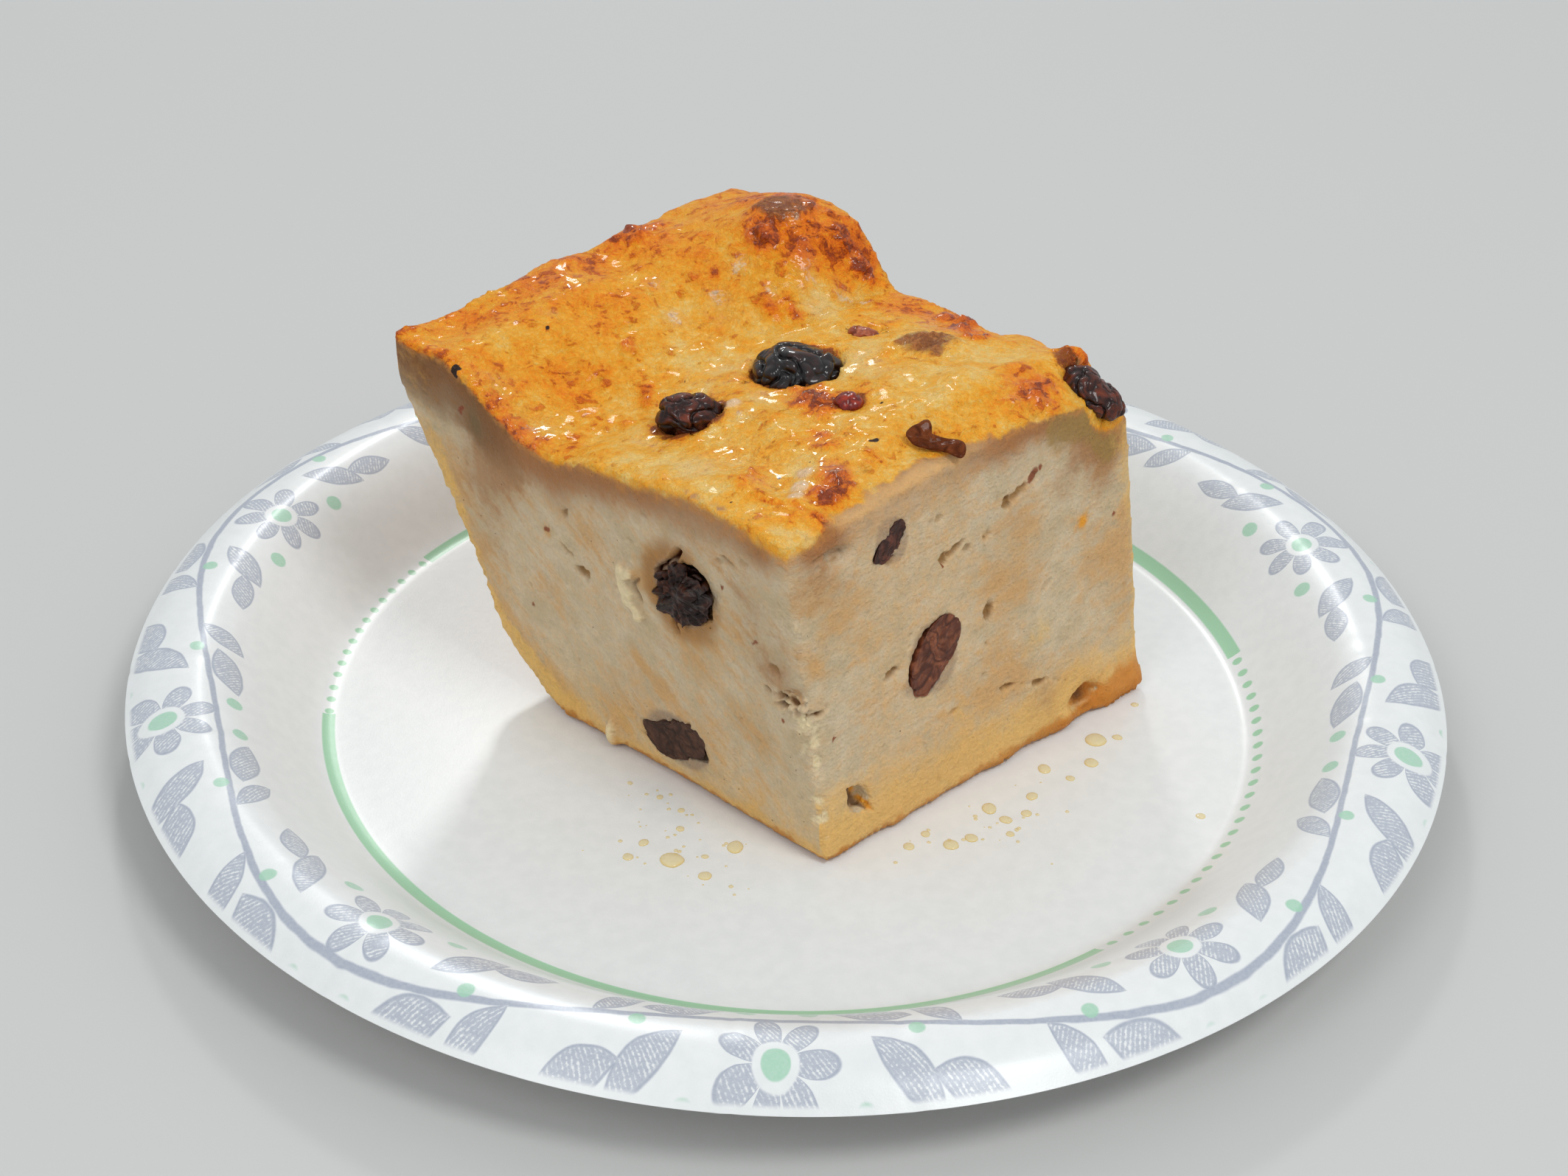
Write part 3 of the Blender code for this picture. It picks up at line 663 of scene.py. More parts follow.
def pitDepths(flat, pits, ragged):
    hollow = np.zeros(len(flat))
    # shade: painted darkening for the inside of each pit
    shade = np.zeros(len(flat))
    for a, b, wide, tall, tilt, depth in pits:
        turn = radians(tilt)
        along = (flat[:, 0] - a) * cos(turn) + (flat[:, 1] - b) * sin(turn)
        across = (flat[:, 1] - b) * cos(turn) - (flat[:, 0] - a) * sin(turn)
        near = np.sqrt((along / wide) ** 2 + (across / tall) ** 2) * (1 + 0.35 * ragged)
        inside = 1 - ease(near, 0.55, 1.35)
        hollow = np.maximum(hollow, depth * pudding["pitShare"] * inside)
        shade = np.maximum(shade, inside * min(1.0, 0.6 * depth))
    return hollow, shade


def bitShare(flat, bits):
    total = np.zeros(len(flat))
    for a, b, long, wide, tilt in bits:
        turn = radians(tilt)
        along = (flat[:, 0] - a) * cos(turn) + (flat[:, 1] - b) * sin(turn)
        across = (flat[:, 1] - b) * cos(turn) - (flat[:, 0] - a) * sin(turn)
        total = np.maximum(total, 1 - ease(np.hypot(along / long, across / wide), 0.6, 1.3))
    return total


def outlineReach(name, middle, angle):  # distance of the visible outline of a cut raisin
    values = cutRaisins[name]
    along = 1 - values["axis"]
    curve = closedCurve(values["outline"], 8) - (middle[along], middle[2])
    turns = np.arctan2(curve[:, 1], curve[:, 0])
    order = np.argsort(turns)
    reach = np.interp(angle, turns[order], np.hypot(*curve[order].T), period=2 * pi)
    ring = np.column_stack([np.cos(angle), np.sin(angle), np.full(len(angle), middle[2])])
    jag = noiseAt(ring, 0.5) + 0.7 * noiseAt(ring, 0.2, 5.0)
    return reach + values["ragged"] * jag


def closeIn(points, places):  # moves the custard around each raisin up to it
    places = places.copy()
    for name, values in cutRaisins.items():
        middle, half = raisinPlace(name)
        axis, along = values["axis"], 1 - values["axis"]
        inward = np.maximum(places[:, axis] - 0.3, 0)
        offset = np.column_stack([places[:, along] - middle[along], places[:, 2] - middle[2]])
        size = np.array([half[along], half[2]]) * 0.93 + 0.28
        radius = np.hypot(*(offset / size).T)
        near = (radius < 2.3) & (places[:, axis] < 3.0)
        away = np.maximum(np.hypot(*offset[near].T), 0.2)
        goal = outlineReach(name, middle, np.arctan2(offset[near, 1], offset[near, 0]))
        edge = away / np.maximum(radius[near], 0.1)
        fade = (1 - ease(radius[near], 1.02, 2.3)) * (1 - ease(inward[near], 0.4, 2.4))
        share = np.clip(1 - (edge - goal) * fade / away, 0.3, 1.8)
        places[near, along] = middle[along] + offset[near, 0] * share
        places[near, 2] = middle[2] + offset[near, 1] * share
    # The crust runs on level under the chip, where the solid has a pocket
    middle, half = raisinPlace("chip")
    near = np.hypot((places[:, 0] - middle[0]) / (half[0] + 0.6),
                    (places[:, 1] - middle[1]) / (half[1] + 0.6))
    top = places[:, 2] > middle[2] - 5
    ring = (near > 1.1) & (near < 1.5) & top & (places[:, 1] > 1.3) & (places[:, 2] > middle[2] - 2.5)
    terms = np.column_stack([np.ones(len(places)), places[:, 0], places[:, 1], places[:, 0] ** 2])
    fit = np.linalg.lstsq(terms[ring], places[ring, 2], rcond=None)[0]
    level = terms @ fit
    share = (1 - ease(near, 0.95, 1.25)) * top * ease(places[:, 1], 0.6, 1.6)
    places[:, 2] += (level - places[:, 2]) * share
    points = piece.world(places)
    for name in ("raisin_top_large", "raisin_top_small", "raisin_top_piece",
                 "raisin_top_sliver", "raisin_corner"):
        tree = BVHTree.FromPolygons([vertex.co for vertex in nodes[name].data.vertices],
                                    [face.vertices for face in nodes[name].data.polygons])
        low, high = (np.array(corner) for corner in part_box(name))
        inside = ((points > low - 2 * mm) & (points < high + 2 * mm)).all(1)
        take = 2.2 if name == "raisin_corner" else 1.3
        for spot in np.flatnonzero(inside):
            place = Vector(points[spot])
            hit, out, face, away = tree.find_nearest(place)
            above = (place - hit).dot(out) / mm
            if 0.02 < above < take:  # the custard ends just inside the raisin's skin
                share = 1 - float(ease(np.array(above), 0.3 * take, take))
                wanted = above + (-0.3 - above) * share
                points[spot] = hit + (place - hit) * (wanted / above)
    return points


def shapePudding(mesh, heights):
    points = closeIn(pointsOf(mesh), piece.local(pointsOf(mesh)))
    movePoints(mesh, points)
    normals = normalsOf(mesh)
    places = piece.local(points)
    v, u, z = places.T
    tops = sampleGrid(heights, v, u)
    depth = tops - z
    upward = normals[:, 2]
    rightOut = ease(-piece.turned(normals)[:, 1], 0.3, 0.8)
    leftOut = ease(-piece.turned(normals)[:, 0], 0.3, 0.8)
    backOut = ease(piece.turned(normals)[:, 0], 0.3, 0.8)
    wallOut = ease(piece.turned(normals)[:, 1], 0.3, 0.7)
    onTop = ease(upward, 0.25, 0.75) * ease(-depth, -2.6, -1.0)
    onTop = np.maximum(onTop, ease(-depth, -1.1, -0.1))
    onTop *= ease(z, 30, 40)
    sides = 1 - onTop

    broad = noiseAt(places, 9.0, 3.1)
    lumps = noiseAt(places, 3.6, 7.7)
    small = noiseAt(places, 1.7, 1.3)
    fine = noiseAt(places, 0.85, 5.9)
    ragged = noiseAt(places, 0.9, 2.2)
    warp = np.column_stack([noiseAt(places, 2.4, 11.0), noiseAt(places, 2.4, 17.0)])
    flatTop = places[:, :2] + 0.9 * warp

    # Crust: lumps, toasting and fine wet grain
    jagged = places[:, :2] + 0.55 * warp + 0.35 * np.column_stack([small, ragged])
    raised = spotSum(flatTop, [(a, b, r, h) for a, b, r, h, t in crustLumps], 2.4)
    toast = spotSum(flatTop, [(a, b, 1.1 * r, t) for a, b, r, h, t in crustLumps], 2.2)
    scabs = spotSum(jagged, [(a, b, r, h) for a, b, r, h, t in crustScabs], 6.0)
    scorch = spotSum(jagged, [(a, b, 1.05 * r, t) for a, b, r, h, t in crustScabs], 5.0)
    halo = spotSum(flatTop, [(a, b, 2.0 * r, 0.35 * t) for a, b, r, h, t in crustScabs], 2.0)
    pale = np.clip(spotSum(flatTop, paleSpots), 0, 1.5)
    tongue = spotSum(jagged, [spot for spot in paleSpots if spot[3] > 1.2], 4.0)
    buried = spotSum(flatTop, [(a, b, r, 1.0) for a, b, r in buriedRaisins], 3.0)
    edgeLeft = (1 - ease(v, 1.0, 5.0)) * ease(u, 42, 50)
    rough = np.clip(0.34 + 0.8 * noiseAt(places, 7.0, 21.0) + 0.7 * toast + 0.4 * edgeLeft
                    - 0.6 * pale, 0.10, 1.2)
    bubbles = np.zeros(len(v))
    for spot in np.flatnonzero(depth < 2.0):
        near = noise.voronoi((places[spot] / 2.1).tolist())[0][0]
        bubbles[spot] = max(0.0, 1 - near / 0.42)
    bubbly = np.clip(0.15 + 1.3 * noiseAt(places, 11.0, 61.0) + 0.5 * edgeLeft - 0.3 * tongue, 0, 1)
    relief = 0.30 * lumps + rough * (0.32 * small + 0.24 * fine) + raised * (0.7 + 0.4 * small)
    relief += 0.26 * bubbly * bubbles ** 1.5 + scabs * (0.8 + 0.8 * small + 0.7 * fine)
    relief += 0.35 * tongue + 0.9 * np.clip(buried, 0, 1) * (1 + 0.6 * small + 0.5 * fine)
    creases = np.exp(-(lumps / 0.06) ** 2) * np.clip(broad + 0.2, 0, 1)
    relief -= 0.05 * creases
    fold = nearLine(flatTop, wrinkle)
    folded = np.clip(0.7 + 1.2 * small, 0.2, 1.2)
    relief += folded * (0.3 * np.exp(-((fold - 0.9) / 0.6) ** 2) - 0.35 * np.exp(-(fold / 0.5) ** 2))
    wet = np.clip(spotSum(flatTop, glints, 2.0), 0, 1)
    relief += wet * (0.30 * np.abs(small) + 0.26 * fine - 0.10)

    ridge = ease(u, 46, 78) * (1 - 0.5 * ease(v, 40, 60))
    peak = ease(u, 48, 60) * ease(v, 50, 62)
    backEdge = ease(v, 60, 71)
    toast = 0.8 * toast + 0.23 + 0.22 * ridge + 0.14 * peak + 0.12 * edgeLeft + 0.14 * backEdge
    toast += spotSum(jagged, crustTones, 2.2)
    toast += 0.20 * broad + 0.18 * lumps + (0.08 + 0.18 * rough) * small + 0.12 * fine * rough
    toast += halo + scorch * (0.8 + 0.6 * small + 0.5 * ragged) + 0.06 * bubbles * bubbly
    toast -= 0.18 * pale
    frontCorner = (1 - ease(v, 8, 16)) * (1 - ease(u, 10, 22))
    toast += 0.08 * frontCorner
    toast += (0.25 + 0.35 * (1 - ease(u, 1.0, 5.0))) * folded * np.exp(-(fold / 0.7) ** 2)
    stained = np.zeros(len(v))
    for name in topRaisins:
        middle, half = raisinPlace(name)
        away = np.hypot((v - middle[0]) / (half[0] + 0.5), (u - middle[1]) / (half[1] + 0.5))
        beyond = np.maximum(away - 1, 0) * half[:2].mean() - 0.9 * small - 0.5 * lumps
        toast += 0.22 * np.exp(-(np.maximum(beyond, 0) / 1.5) ** 2)
        stained = np.maximum(stained, np.exp(-(np.maximum(beyond, 0) / 0.55) ** 2))
    lobeV, lobeU, lobeSize = pudding["cornerStain"]
    lobe = np.hypot(v - lobeV, u - lobeU) - 0.7 * small - 0.5 * lumps
    stained = np.maximum(stained, np.exp(-(np.maximum(lobe, 0) / lobeSize) ** 6))
    toast =np.where(toast > 0, 0.92 * np.tanh(toast / 0.92), 0)
    specks = np.clip(spotSum(jagged, [(a, b, r, 1.0) for a, b, r in crustSpecks], 4.0), 0, 1)
    specks *= ease(-depth, -2.0, -1.2)

    # Cut faces: faint waves, drag marks and pits
    flatLeft = np.column_stack([u, z])
    flatRight = np.column_stack([v, z])
    leftHollow, leftShade = pitDepths(flatLeft, leftPits, ragged)
    rightHollow, rightShade = pitDepths(flatRight, rightPits, ragged)
    onLeft = leftOut * (1 - ease(v, 1.4, 2.4)) * sides
    onRight = rightOut * (1 - ease(u, 1.4, 2.4)) * sides
    onBack = backOut * (1 - wallOut) * sides
    flatBack = np.column_stack([76 - u, z])  # the far cut, with the left cut's pits mirrored
    backHollow, backShade = pitDepths(flatBack, leftPits, ragged)
    edgePlace = np.column_stack([u - v, z]) + 0.45 * warp
    faceSkin = np.maximum(onLeft, onRight)
    nearEdge = (1 - ease(u + v, 8.0, 11.0)) * faceSkin
    upperGap = nearLine(edgePlace, upperTear)
    lowerGap = nearLine(edgePlace, lowerTear)
    broken = np.clip(0.45 + 1.9 * noiseAt(edgePlace[:, [0, 1, 0]] * (1, 1, 0), 1.8, 33.0), 0, 1)
    tearing = np.maximum(np.exp(-(upperGap / 0.42) ** 2), np.exp(-(lowerGap / 0.55) ** 2))
    tearing = tearing * nearEdge * broken
    torn = 1 - ease(np.hypot((edgePlace[:, 0] - 2.4) / 5.4, (z - 28.4) / 2.6), 0.6, 1.05)
    ledge = torn * nearEdge * np.clip(0.35 + 1.4 * small + 0.8 * ragged, 0, 1)
    chips = (1 - ease(u + v, 1.2, 3.2)) * (1 - ease(z, 27, 28.5)) * ease(z, 3, 6) * faceSkin
    chips *= np.clip(0.15 + 2.2 * noiseAt(places, 2.2, 31.0) + 0.4 * ease(z, 18, 26), 0, 1)
    cleftNear = nearLine(flatLeft + 0.25 * warp, cleft)
    cleftIn = np.exp(-(cleftNear / (0.95 - 0.6 * ease(z, 41, 47))) ** 2)
    tailNear = nearLine(flatLeft + 0.2 * warp, cleftTail)
    cleftIn = np.maximum(cleftIn, 0.8 * np.exp(-(tailNear / 0.45) ** 2)) * onLeft
    cleftLip = np.exp(-((cleftNear - 1.2) / 0.5) ** 2) * onLeft * (u > 22) * (z > 40)
    curlNear = nearLine(flatLeft + 0.6 * warp, curl)
    curlWide = 1.15 + 0.8 * noiseAt(places, 2.0, 81.0)
    curlOut = np.exp(-(curlNear / curlWide) ** 4) * onLeft * np.clip(1.0 + 0.5 * small, 0.4, 1.2)
    curlGroove = nearLine(flatLeft + 0.4 * warp, ((32.6, 37.6), (34.2, 36.2), (33.2, 33.6)))
    curlGroove = np.exp(-(curlGroove / 0.5) ** 2) * onLeft
    flap = np.exp(-(((u - 45.1) / 1.2) ** 2 + ((z - 3.0) / 2.3) ** 2) ** 1.4) * onLeft
    seamNear = nearLine(flatRight + 0.5 * warp, seam)
    seamIn = np.exp(-(seamNear / 0.4) ** 2) * onRight * np.clip(0.3 + 1.4 * small, 0, 1)
    wave = noiseAt(places * (0.6, 0.6, 1.0), 5.0, 41.0)
    pocked = np.clip(noiseAt(places, 1.25, 71.0) - 0.36, 0, 1) * np.clip(0.5 + broad, 0, 1)
    grainy = 0.07 * fine + 0.06 * ragged - 1.0 * pocked
    cutRelief = 0.13 * wave + grainy
    cutRelief -= leftHollow * onLeft + rightHollow * onRight + backHollow * onBack
    cornerIn = ease(insideDistance(flatRight + 0.2 * warp, cornerHole), -0.2, 0.5)
    cutRelief -= 0.9 * cornerIn * onRight
    cutRelief += -1.8 * tearing + torn * nearEdge * (0.7 * small + 0.8 * fine + 0.5 * ragged)
    cutRelief += -0.35 * chips * (1 + ragged + fine) - 0.3 * seamIn
    cutRelief += -1.5 * cleftIn + 0.35 * cleftLip + 0.95 * curlOut - 0.7 * curlGroove + 1.9 * flap

    # Foot: a browned lip that stands out unevenly, and the notch near the right end
    footBand = 1 - ease(z, 0.8, 3.2)
    footWave = noiseAt(np.column_stack([v - u, 0 * v, 0 * z]), 6.0, 51.0)
    cutRelief += footBand * (0.35 + 0.55 * footWave) * np.maximum(rightOut, 0.6 * leftOut)
    notch = np.exp(-(((v - 60.2) / 2.2) ** 2 + ((z - 3.6) / 2.4) ** 2)) * rightOut
    heel = ease(v + 0.6 * lumps, 61.5, 66.5) * (1 - ease(z + 1.6 * lumps + 0.8 * small, 1.5, 8.5)) * rightOut
    bump = np.exp(-(((v - 54.8) / 1.9) ** 2 + ((z - 2.2) / 1.7) ** 2)) * rightOut
    cutRelief += -1.1 * notch + 0.8 * heel + 0.7 * bump

    # Pan side: baked skin with shallow pores; its edge is crumbly
    skin = 0.16 * lumps + 0.12 * small + 0.05 * fine
    wallShare = wallOut * sides
    outward = cutRelief * (1 - wallShare) + skin * wallShare
    overhang = np.exp(-((depth - 0.5) / 0.8) ** 2) * (1 - ease(upward, 0.5, 0.9))
    outward = outward + overhang * (0.05 + 0.40 * small + 0.30 * ragged)
    wallReach = 54 + 18.9 * ease(z, -4, 20) + 5.5 * ease(z, 10, 52)
    crumbly = np.exp(-((wallReach - u) / 1.8) ** 2) * (1 - ease(v, 1.5, 3.5)) * sides
    outward = outward + crumbly * (0.55 * small + 0.45 * ragged)
    move = relief * onTop + outward * sides
    still = ease(z, 0.05, 0.5)
    moved = points + normals * (move * still * mm)[:, None]
    ceiling = cadBox[1].z - 1.1 * mm  # keeps the peak inside the solid's height
    over = np.maximum(moved[:, 2] - ceiling, 0)
    moved[:, 2] -= over - 0.8 * mm * np.tanh(over / (1.6 * mm))
    movePoints(mesh, moved)

    # Masks for the finish
    softEdge = (1 - ease(u, 26, 44)) * leftOut + 0.6 * (1 - ease(v, 30, 50)) * rightOut
    # Near the front the crust thins out before it reaches the cut
    thinned = (1 - ease(u + 0.5 * lumps, 0.2, 4.4)) * ease(v, 5, 13) * (1 - ease(v, 32, 50))
    thinned = np.maximum(thinned, 0.5 * (1 - ease(v, 0.4, 3.4)) * ease(u, 4, 10) * (1 - ease(u, 20, 32)))
    reach = np.maximum(0.0, depth + 0.45 * small + 0.35 * ragged + 2.3 * thinned)
    crust = 1 - ease(reach / (1 + 1.1 * softEdge), 0.35, 1.7)
    crust *= ease(z, 25, 36)
    rust = np.exp(-(((v - 9.5) / 5.0) ** 2 + (depth / 6.0) ** 2)) * rightOut
    cornerFade = 1 - ease(u + v, 1.0, 5.0)
    bandWidth = 5.0 + 1.8 * broad + 1.8 * np.exp(-((u - 50) / 9.0) ** 2) * leftOut
    bandWidth += (3.0 * np.exp(-((u - 19) / 10.0) ** 2) + 1.0 * ease(u, 60, 70)) * leftOut
    bandWidth += (2.5 * ease(v, 52, 60) - 1.0 * ease(v, 30, 40)) * rightOut
    under = np.exp(-(np.maximum(depth - 1.5, 0) / bandWidth) ** 2) * (1 - 0.6 * cornerFade)
    under *= 1 - 0.5 * thinned
    rimLine = np.exp(-((reach / (1 + 1.1 * softEdge) - 1.5) / 0.55) ** 2) * faceSkin
    rimLine *= np.clip(0.6 + 1.2 * small, 0, 1)
    dusk = spotSum(flatLeft + 1.4 * warp, leftDusk, 1.8) * onLeft
    dusk += spotSum(flatRight + 1.4 * warp, rightDusk, 1.8) * onRight
    dusk += 0.7 * spotSum(flatBack + 1.4 * warp, leftDusk, 1.8) * onBack
    darkBand = ease(u, 52, 66) * leftOut * (1 - ease(depth + 1.5 * lumps, 6.0, 16.0))
    oliveBand = ease(v, 50, 58) * (1 - ease(v, 68, 73)) * rightOut * np.exp(-((depth - 4.0) / 3.4) ** 2)
    goldReach = np.maximum(wallReach - u + 0.8 * lumps + 0.5 * small, 0)
    gold = np.exp(-(goldReach / 2.0) ** 2) * (1 - 0.75 * ease(z, 36, 50) * leftOut)
    goldWide = 2.0 + 2.2 * ease(z, 30, 44) + 1.6 * lumps + 0.7 * small
    rightGold = np.exp(-((pudding["rightLength"] - v) / goldWide) ** 2) * rightOut
    rightGold = np.maximum(rightGold, np.exp(-(u / goldWide) ** 2) * backOut * (1 - rightOut))
    gold = np.maximum(gold, 0.8 * rightGold)
    goldHalo = np.exp(-(goldReach / 5.5) ** 2) * onLeft * (1 - ease(z, 40, 52))
    lowFade = z + 2.2 * broad + 1.4 * lumps
    low = (1 - ease(lowFade, 2.0, 17.0)) * (0.75 * onRight + 0.25 * onLeft)
    low = np.maximum(low, (1 - ease(lowFade, 0.6, 5.5)) * np.maximum(onRight, 0.75 * onLeft))
    low = np.maximum(low, (1 - ease(lowFade, 0.6, 6.0)) * 0.7 * onBack)
    footHigh = 1 + 0.9 * rightOut * ease(v, 20, 50) + 0.6 * footWave
    footLine = 1 - ease((z + 0.8 * ragged + 0.5 * small) / footHigh, 0.6, 2.3)
    heelGold = ease(v + 0.6 * lumps, 60.5, 64.5) * rightOut
    heelGold *= 1 - ease(z + 1.6 * lumps + 0.8 * small, 3.0, 10.5)
    heelRing = np.exp(-(((v - 61) / 3.4) ** 2 + ((z - 2.5) / 3.6) ** 2)) * rightOut
    heelGold = np.maximum(heelGold, heelRing)
    scab = np.exp(-(((v - 54.5) / 3.2) ** 2 + ((z - 1.0) / 1.6) ** 2)) * rightOut
    heelGold = np.maximum(heelGold, scab) * np.clip(0.9 + 0.9 * lumps + 0.6 * small, 0, 1.2)
    warmth = spotSum(flatLeft + 1.5 * warp, leftWarm, 1.6) * onLeft
    warmth += spotSum(flatRight + 1.5 * warp, rightWarm, 1.6) * onRight
    warmth += spotSum(flatBack + 3.0 * warp, leftWarm, 1.6) * onBack * 0.8 + 0.8 * goldHalo
    yellow = spotSum(flatRight + 1.2 * warp, yellowSpots, 1.8) * onRight
    stain = np.zeros(len(v))
    bruise = np.zeros(len(v))
    for name, values in cutRaisins.items():
        middle, half = raisinPlace(name)
        along = 1 - values["axis"]
        away = np.hypot((places[:, along] - middle[along]) / half[along], (z - middle[2]) / half[2])
        on = (places[:, values["axis"]] < 3.5) * sides
        if name == "raisin_left_upper":
            beyond = np.maximum(away - 1.4 + 0.15 * lumps + 0.12 * small, 0)
            stain = np.maximum(stain, np.exp(-(beyond / 0.8) ** 2) * on)
        bruise = np.maximum(bruise, np.exp(-(np.maximum(away - 1.1, 0) / 0.28) ** 2) * on)
    smear = np.exp(-(((v - 21.8) / 2.6) ** 2 + ((z - 23.6) / 2.2) ** 2)) * onRight
    smear = np.maximum(smear, np.exp(-(((v - 17.4) / 1.4) ** 2 + ((z - 48.6) / 1.5) ** 2)) * onRight)
    bruise = np.maximum(bruise * 0.9, smear)
    greenish = np.exp(-(((u - 66.5) / 1.6) ** 2 + ((z - 51.5) / 3.4) ** 2)) * onLeft
    # Painted shade: the colour darkens inside pits, pockets, tears, the seam and small pocks
    paintedPocketShade = ease(np.minimum(v, u), 0.7, 2.2) * (1 - ease(np.minimum(v, u), 6, 9)) * sides
    paintedPocketShade = paintedPocketShade * (np.maximum(leftOut, rightOut) < 0.75) * (z > 0.6) * (z < 54)
    paintedPocketShade = paintedPocketShade * (pudding["rightLength"] - v > 3) * (wallReach - u > 3)
    deep = leftShade * onLeft + rightShade * onRight + backShade * onBack
    deep += tearing * 0.7 + 0.7 * seamIn
    # Painted shade inside the four-cornered hole, and in the notch near the foot
    holeDark = cornerIn * (u < 4.5) * (1 - ease(v + 0.4 * z, 11.2, 13.4))
    holeGold = cornerIn * (u < 4.5) * ease(v + 0.4 * z, 11.0, 13.0)
    deep = np.clip(deep + paintedPocketShade + 1.6 * pocked * sides, 0, 1)
    torn = np.clip(0.7 * ledge + chips + curlOut + flap + 0.4 * cleftLip, 0, 1)
    bits = bitShare(flatLeft + 0.2 * warp, leftBits) * onLeft
    bits = np.maximum(bits, bitShare(flatRight + 0.2 * warp, rightBits) * onRight)
    amber = np.exp(-(np.hypot(v - 61.2, z - 38.0) / 1.2) ** 2) * onRight
    amber = np.maximum(amber, 0.6 * np.exp(-(np.hypot(v - 59.6, z - 37.2) / 0.8) ** 2) * onRight)
    amber = np.maximum(amber, 0.9 * holeGold)
    masks = {
        "dusk": np.clip(dusk, 0, 1.2), "holeDark": np.clip(holeDark + 0.8 * notch, 0, 1),
        "thinned": thinned * np.clip(onTop + 0.5 * faceSkin, 0, 1), "glints": wet,
        "low": np.clip(low, 0, 1), "bits": bits, "amber": amber, "rimLine": rimLine,
        "stained": stained * onTop, "gap": np.clip(tearing + 0.6 * curlGroove, 0, 1),
        "crust": crust, "toast": np.clip(toast, 0, 1.2), "pale": pale, "buried": buried,
        "under": np.clip(under, 0, 1), "rust": rust, "gold": gold * sides, "wall": wallShare,
        "footLine": footLine, "heel": heelGold, "warmth": np.clip(warmth, 0, 1.4),
        "yellow": yellow, "stain": stain, "bruise": bruise, "greenish": greenish, "deep": deep,
        "torn": torn, "cleft": cleftIn, "speck": specks, "tongue": np.clip(tongue, 0, 1),
        "darkBand": darkBand, "olive": oliveBand,
        "wet": np.clip(wet + 0.8 * scabs + 0.5 * tongue + 0.25 * rough + 0.5 * pale, 0, 1),
    }
    for name, values in masks.items():
        storeMask(mesh, name, values)
    storePlaces(mesh, "spot", places)


puddingColours = {
    "toastStops": (
        (0.00, (0.95, 0.61, 0.18)), (0.14, (0.97, 0.51, 0.080)), (0.30, (0.98, 0.42, 0.026)),
        (0.46, (0.97, 0.32, 0.010)), (0.62, (0.88, 0.205, 0.005)), (0.80, (0.62, 0.110, 0.004)),
        (0.95, (0.32, 0.048, 0.004)),
    ),
    "paleCrust": (0.90, 0.60, 0.26),
    # whitish colour of the painted highlights on the wet glints
    "paintedGlare": (0.96, 0.80, 0.56),
    "tongue": (0.90, 0.60, 0.36),
    "buriedPurple": (0.23, 0.065, 0.022),
    "buriedBrown": (0.50, 0.19, 0.06),
    "stained": (0.23, 0.046, 0.012),
    "rimLine": (0.62, 0.26, 0.06),
    "cream": (0.60, 0.455, 0.275),
    "white": (0.74, 0.605, 0.425),
    "warmBeige": (0.66, 0.39, 0.17),
    "yellowCream": (0.82, 0.53, 0.18),
    "lowGold": (0.82, 0.48, 0.14),
    "dusk": (0.43, 0.225, 0.10),
    "thinned": (0.77, 0.44, 0.165),
    "holeDark": (0.13, 0.055, 0.018),
    "mauve": (0.40, 0.168, 0.056),
    "darkBand": (0.21, 0.088, 0.026),
    "olive": (0.36, 0.22, 0.065),
    "rust": (0.38, 0.14, 0.04),
    "gold": (0.84, 0.51, 0.15),
    "wall": (0.66, 0.30, 0.06),
    "foot": (0.56, 0.20, 0.025),
    # dark brown of the painted shade in tears and grooves
    "gap": (0.20, 0.08, 0.022),
    "heel": (0.66, 0.25, 0.04),
    "stain": (0.40, 0.185, 0.05),
    "bruise": (0.29, 0.21, 0.165),
    "greenish": (0.20, 0.125, 0.05),
    # brown of the painted shade in the hollows
    "deep": (0.36, 0.19, 0.060),
    "amber": (0.86, 0.36, 0.03),
    "bits": (0.26, 0.055, 0.015),
    "char": (0.03, 0.012, 0.008),
    "cleft": (0.10, 0.02, 0.004),
    "torn": (0.86, 0.70, 0.43),
    "speck": (0.12, 0.05, 0.02),
}


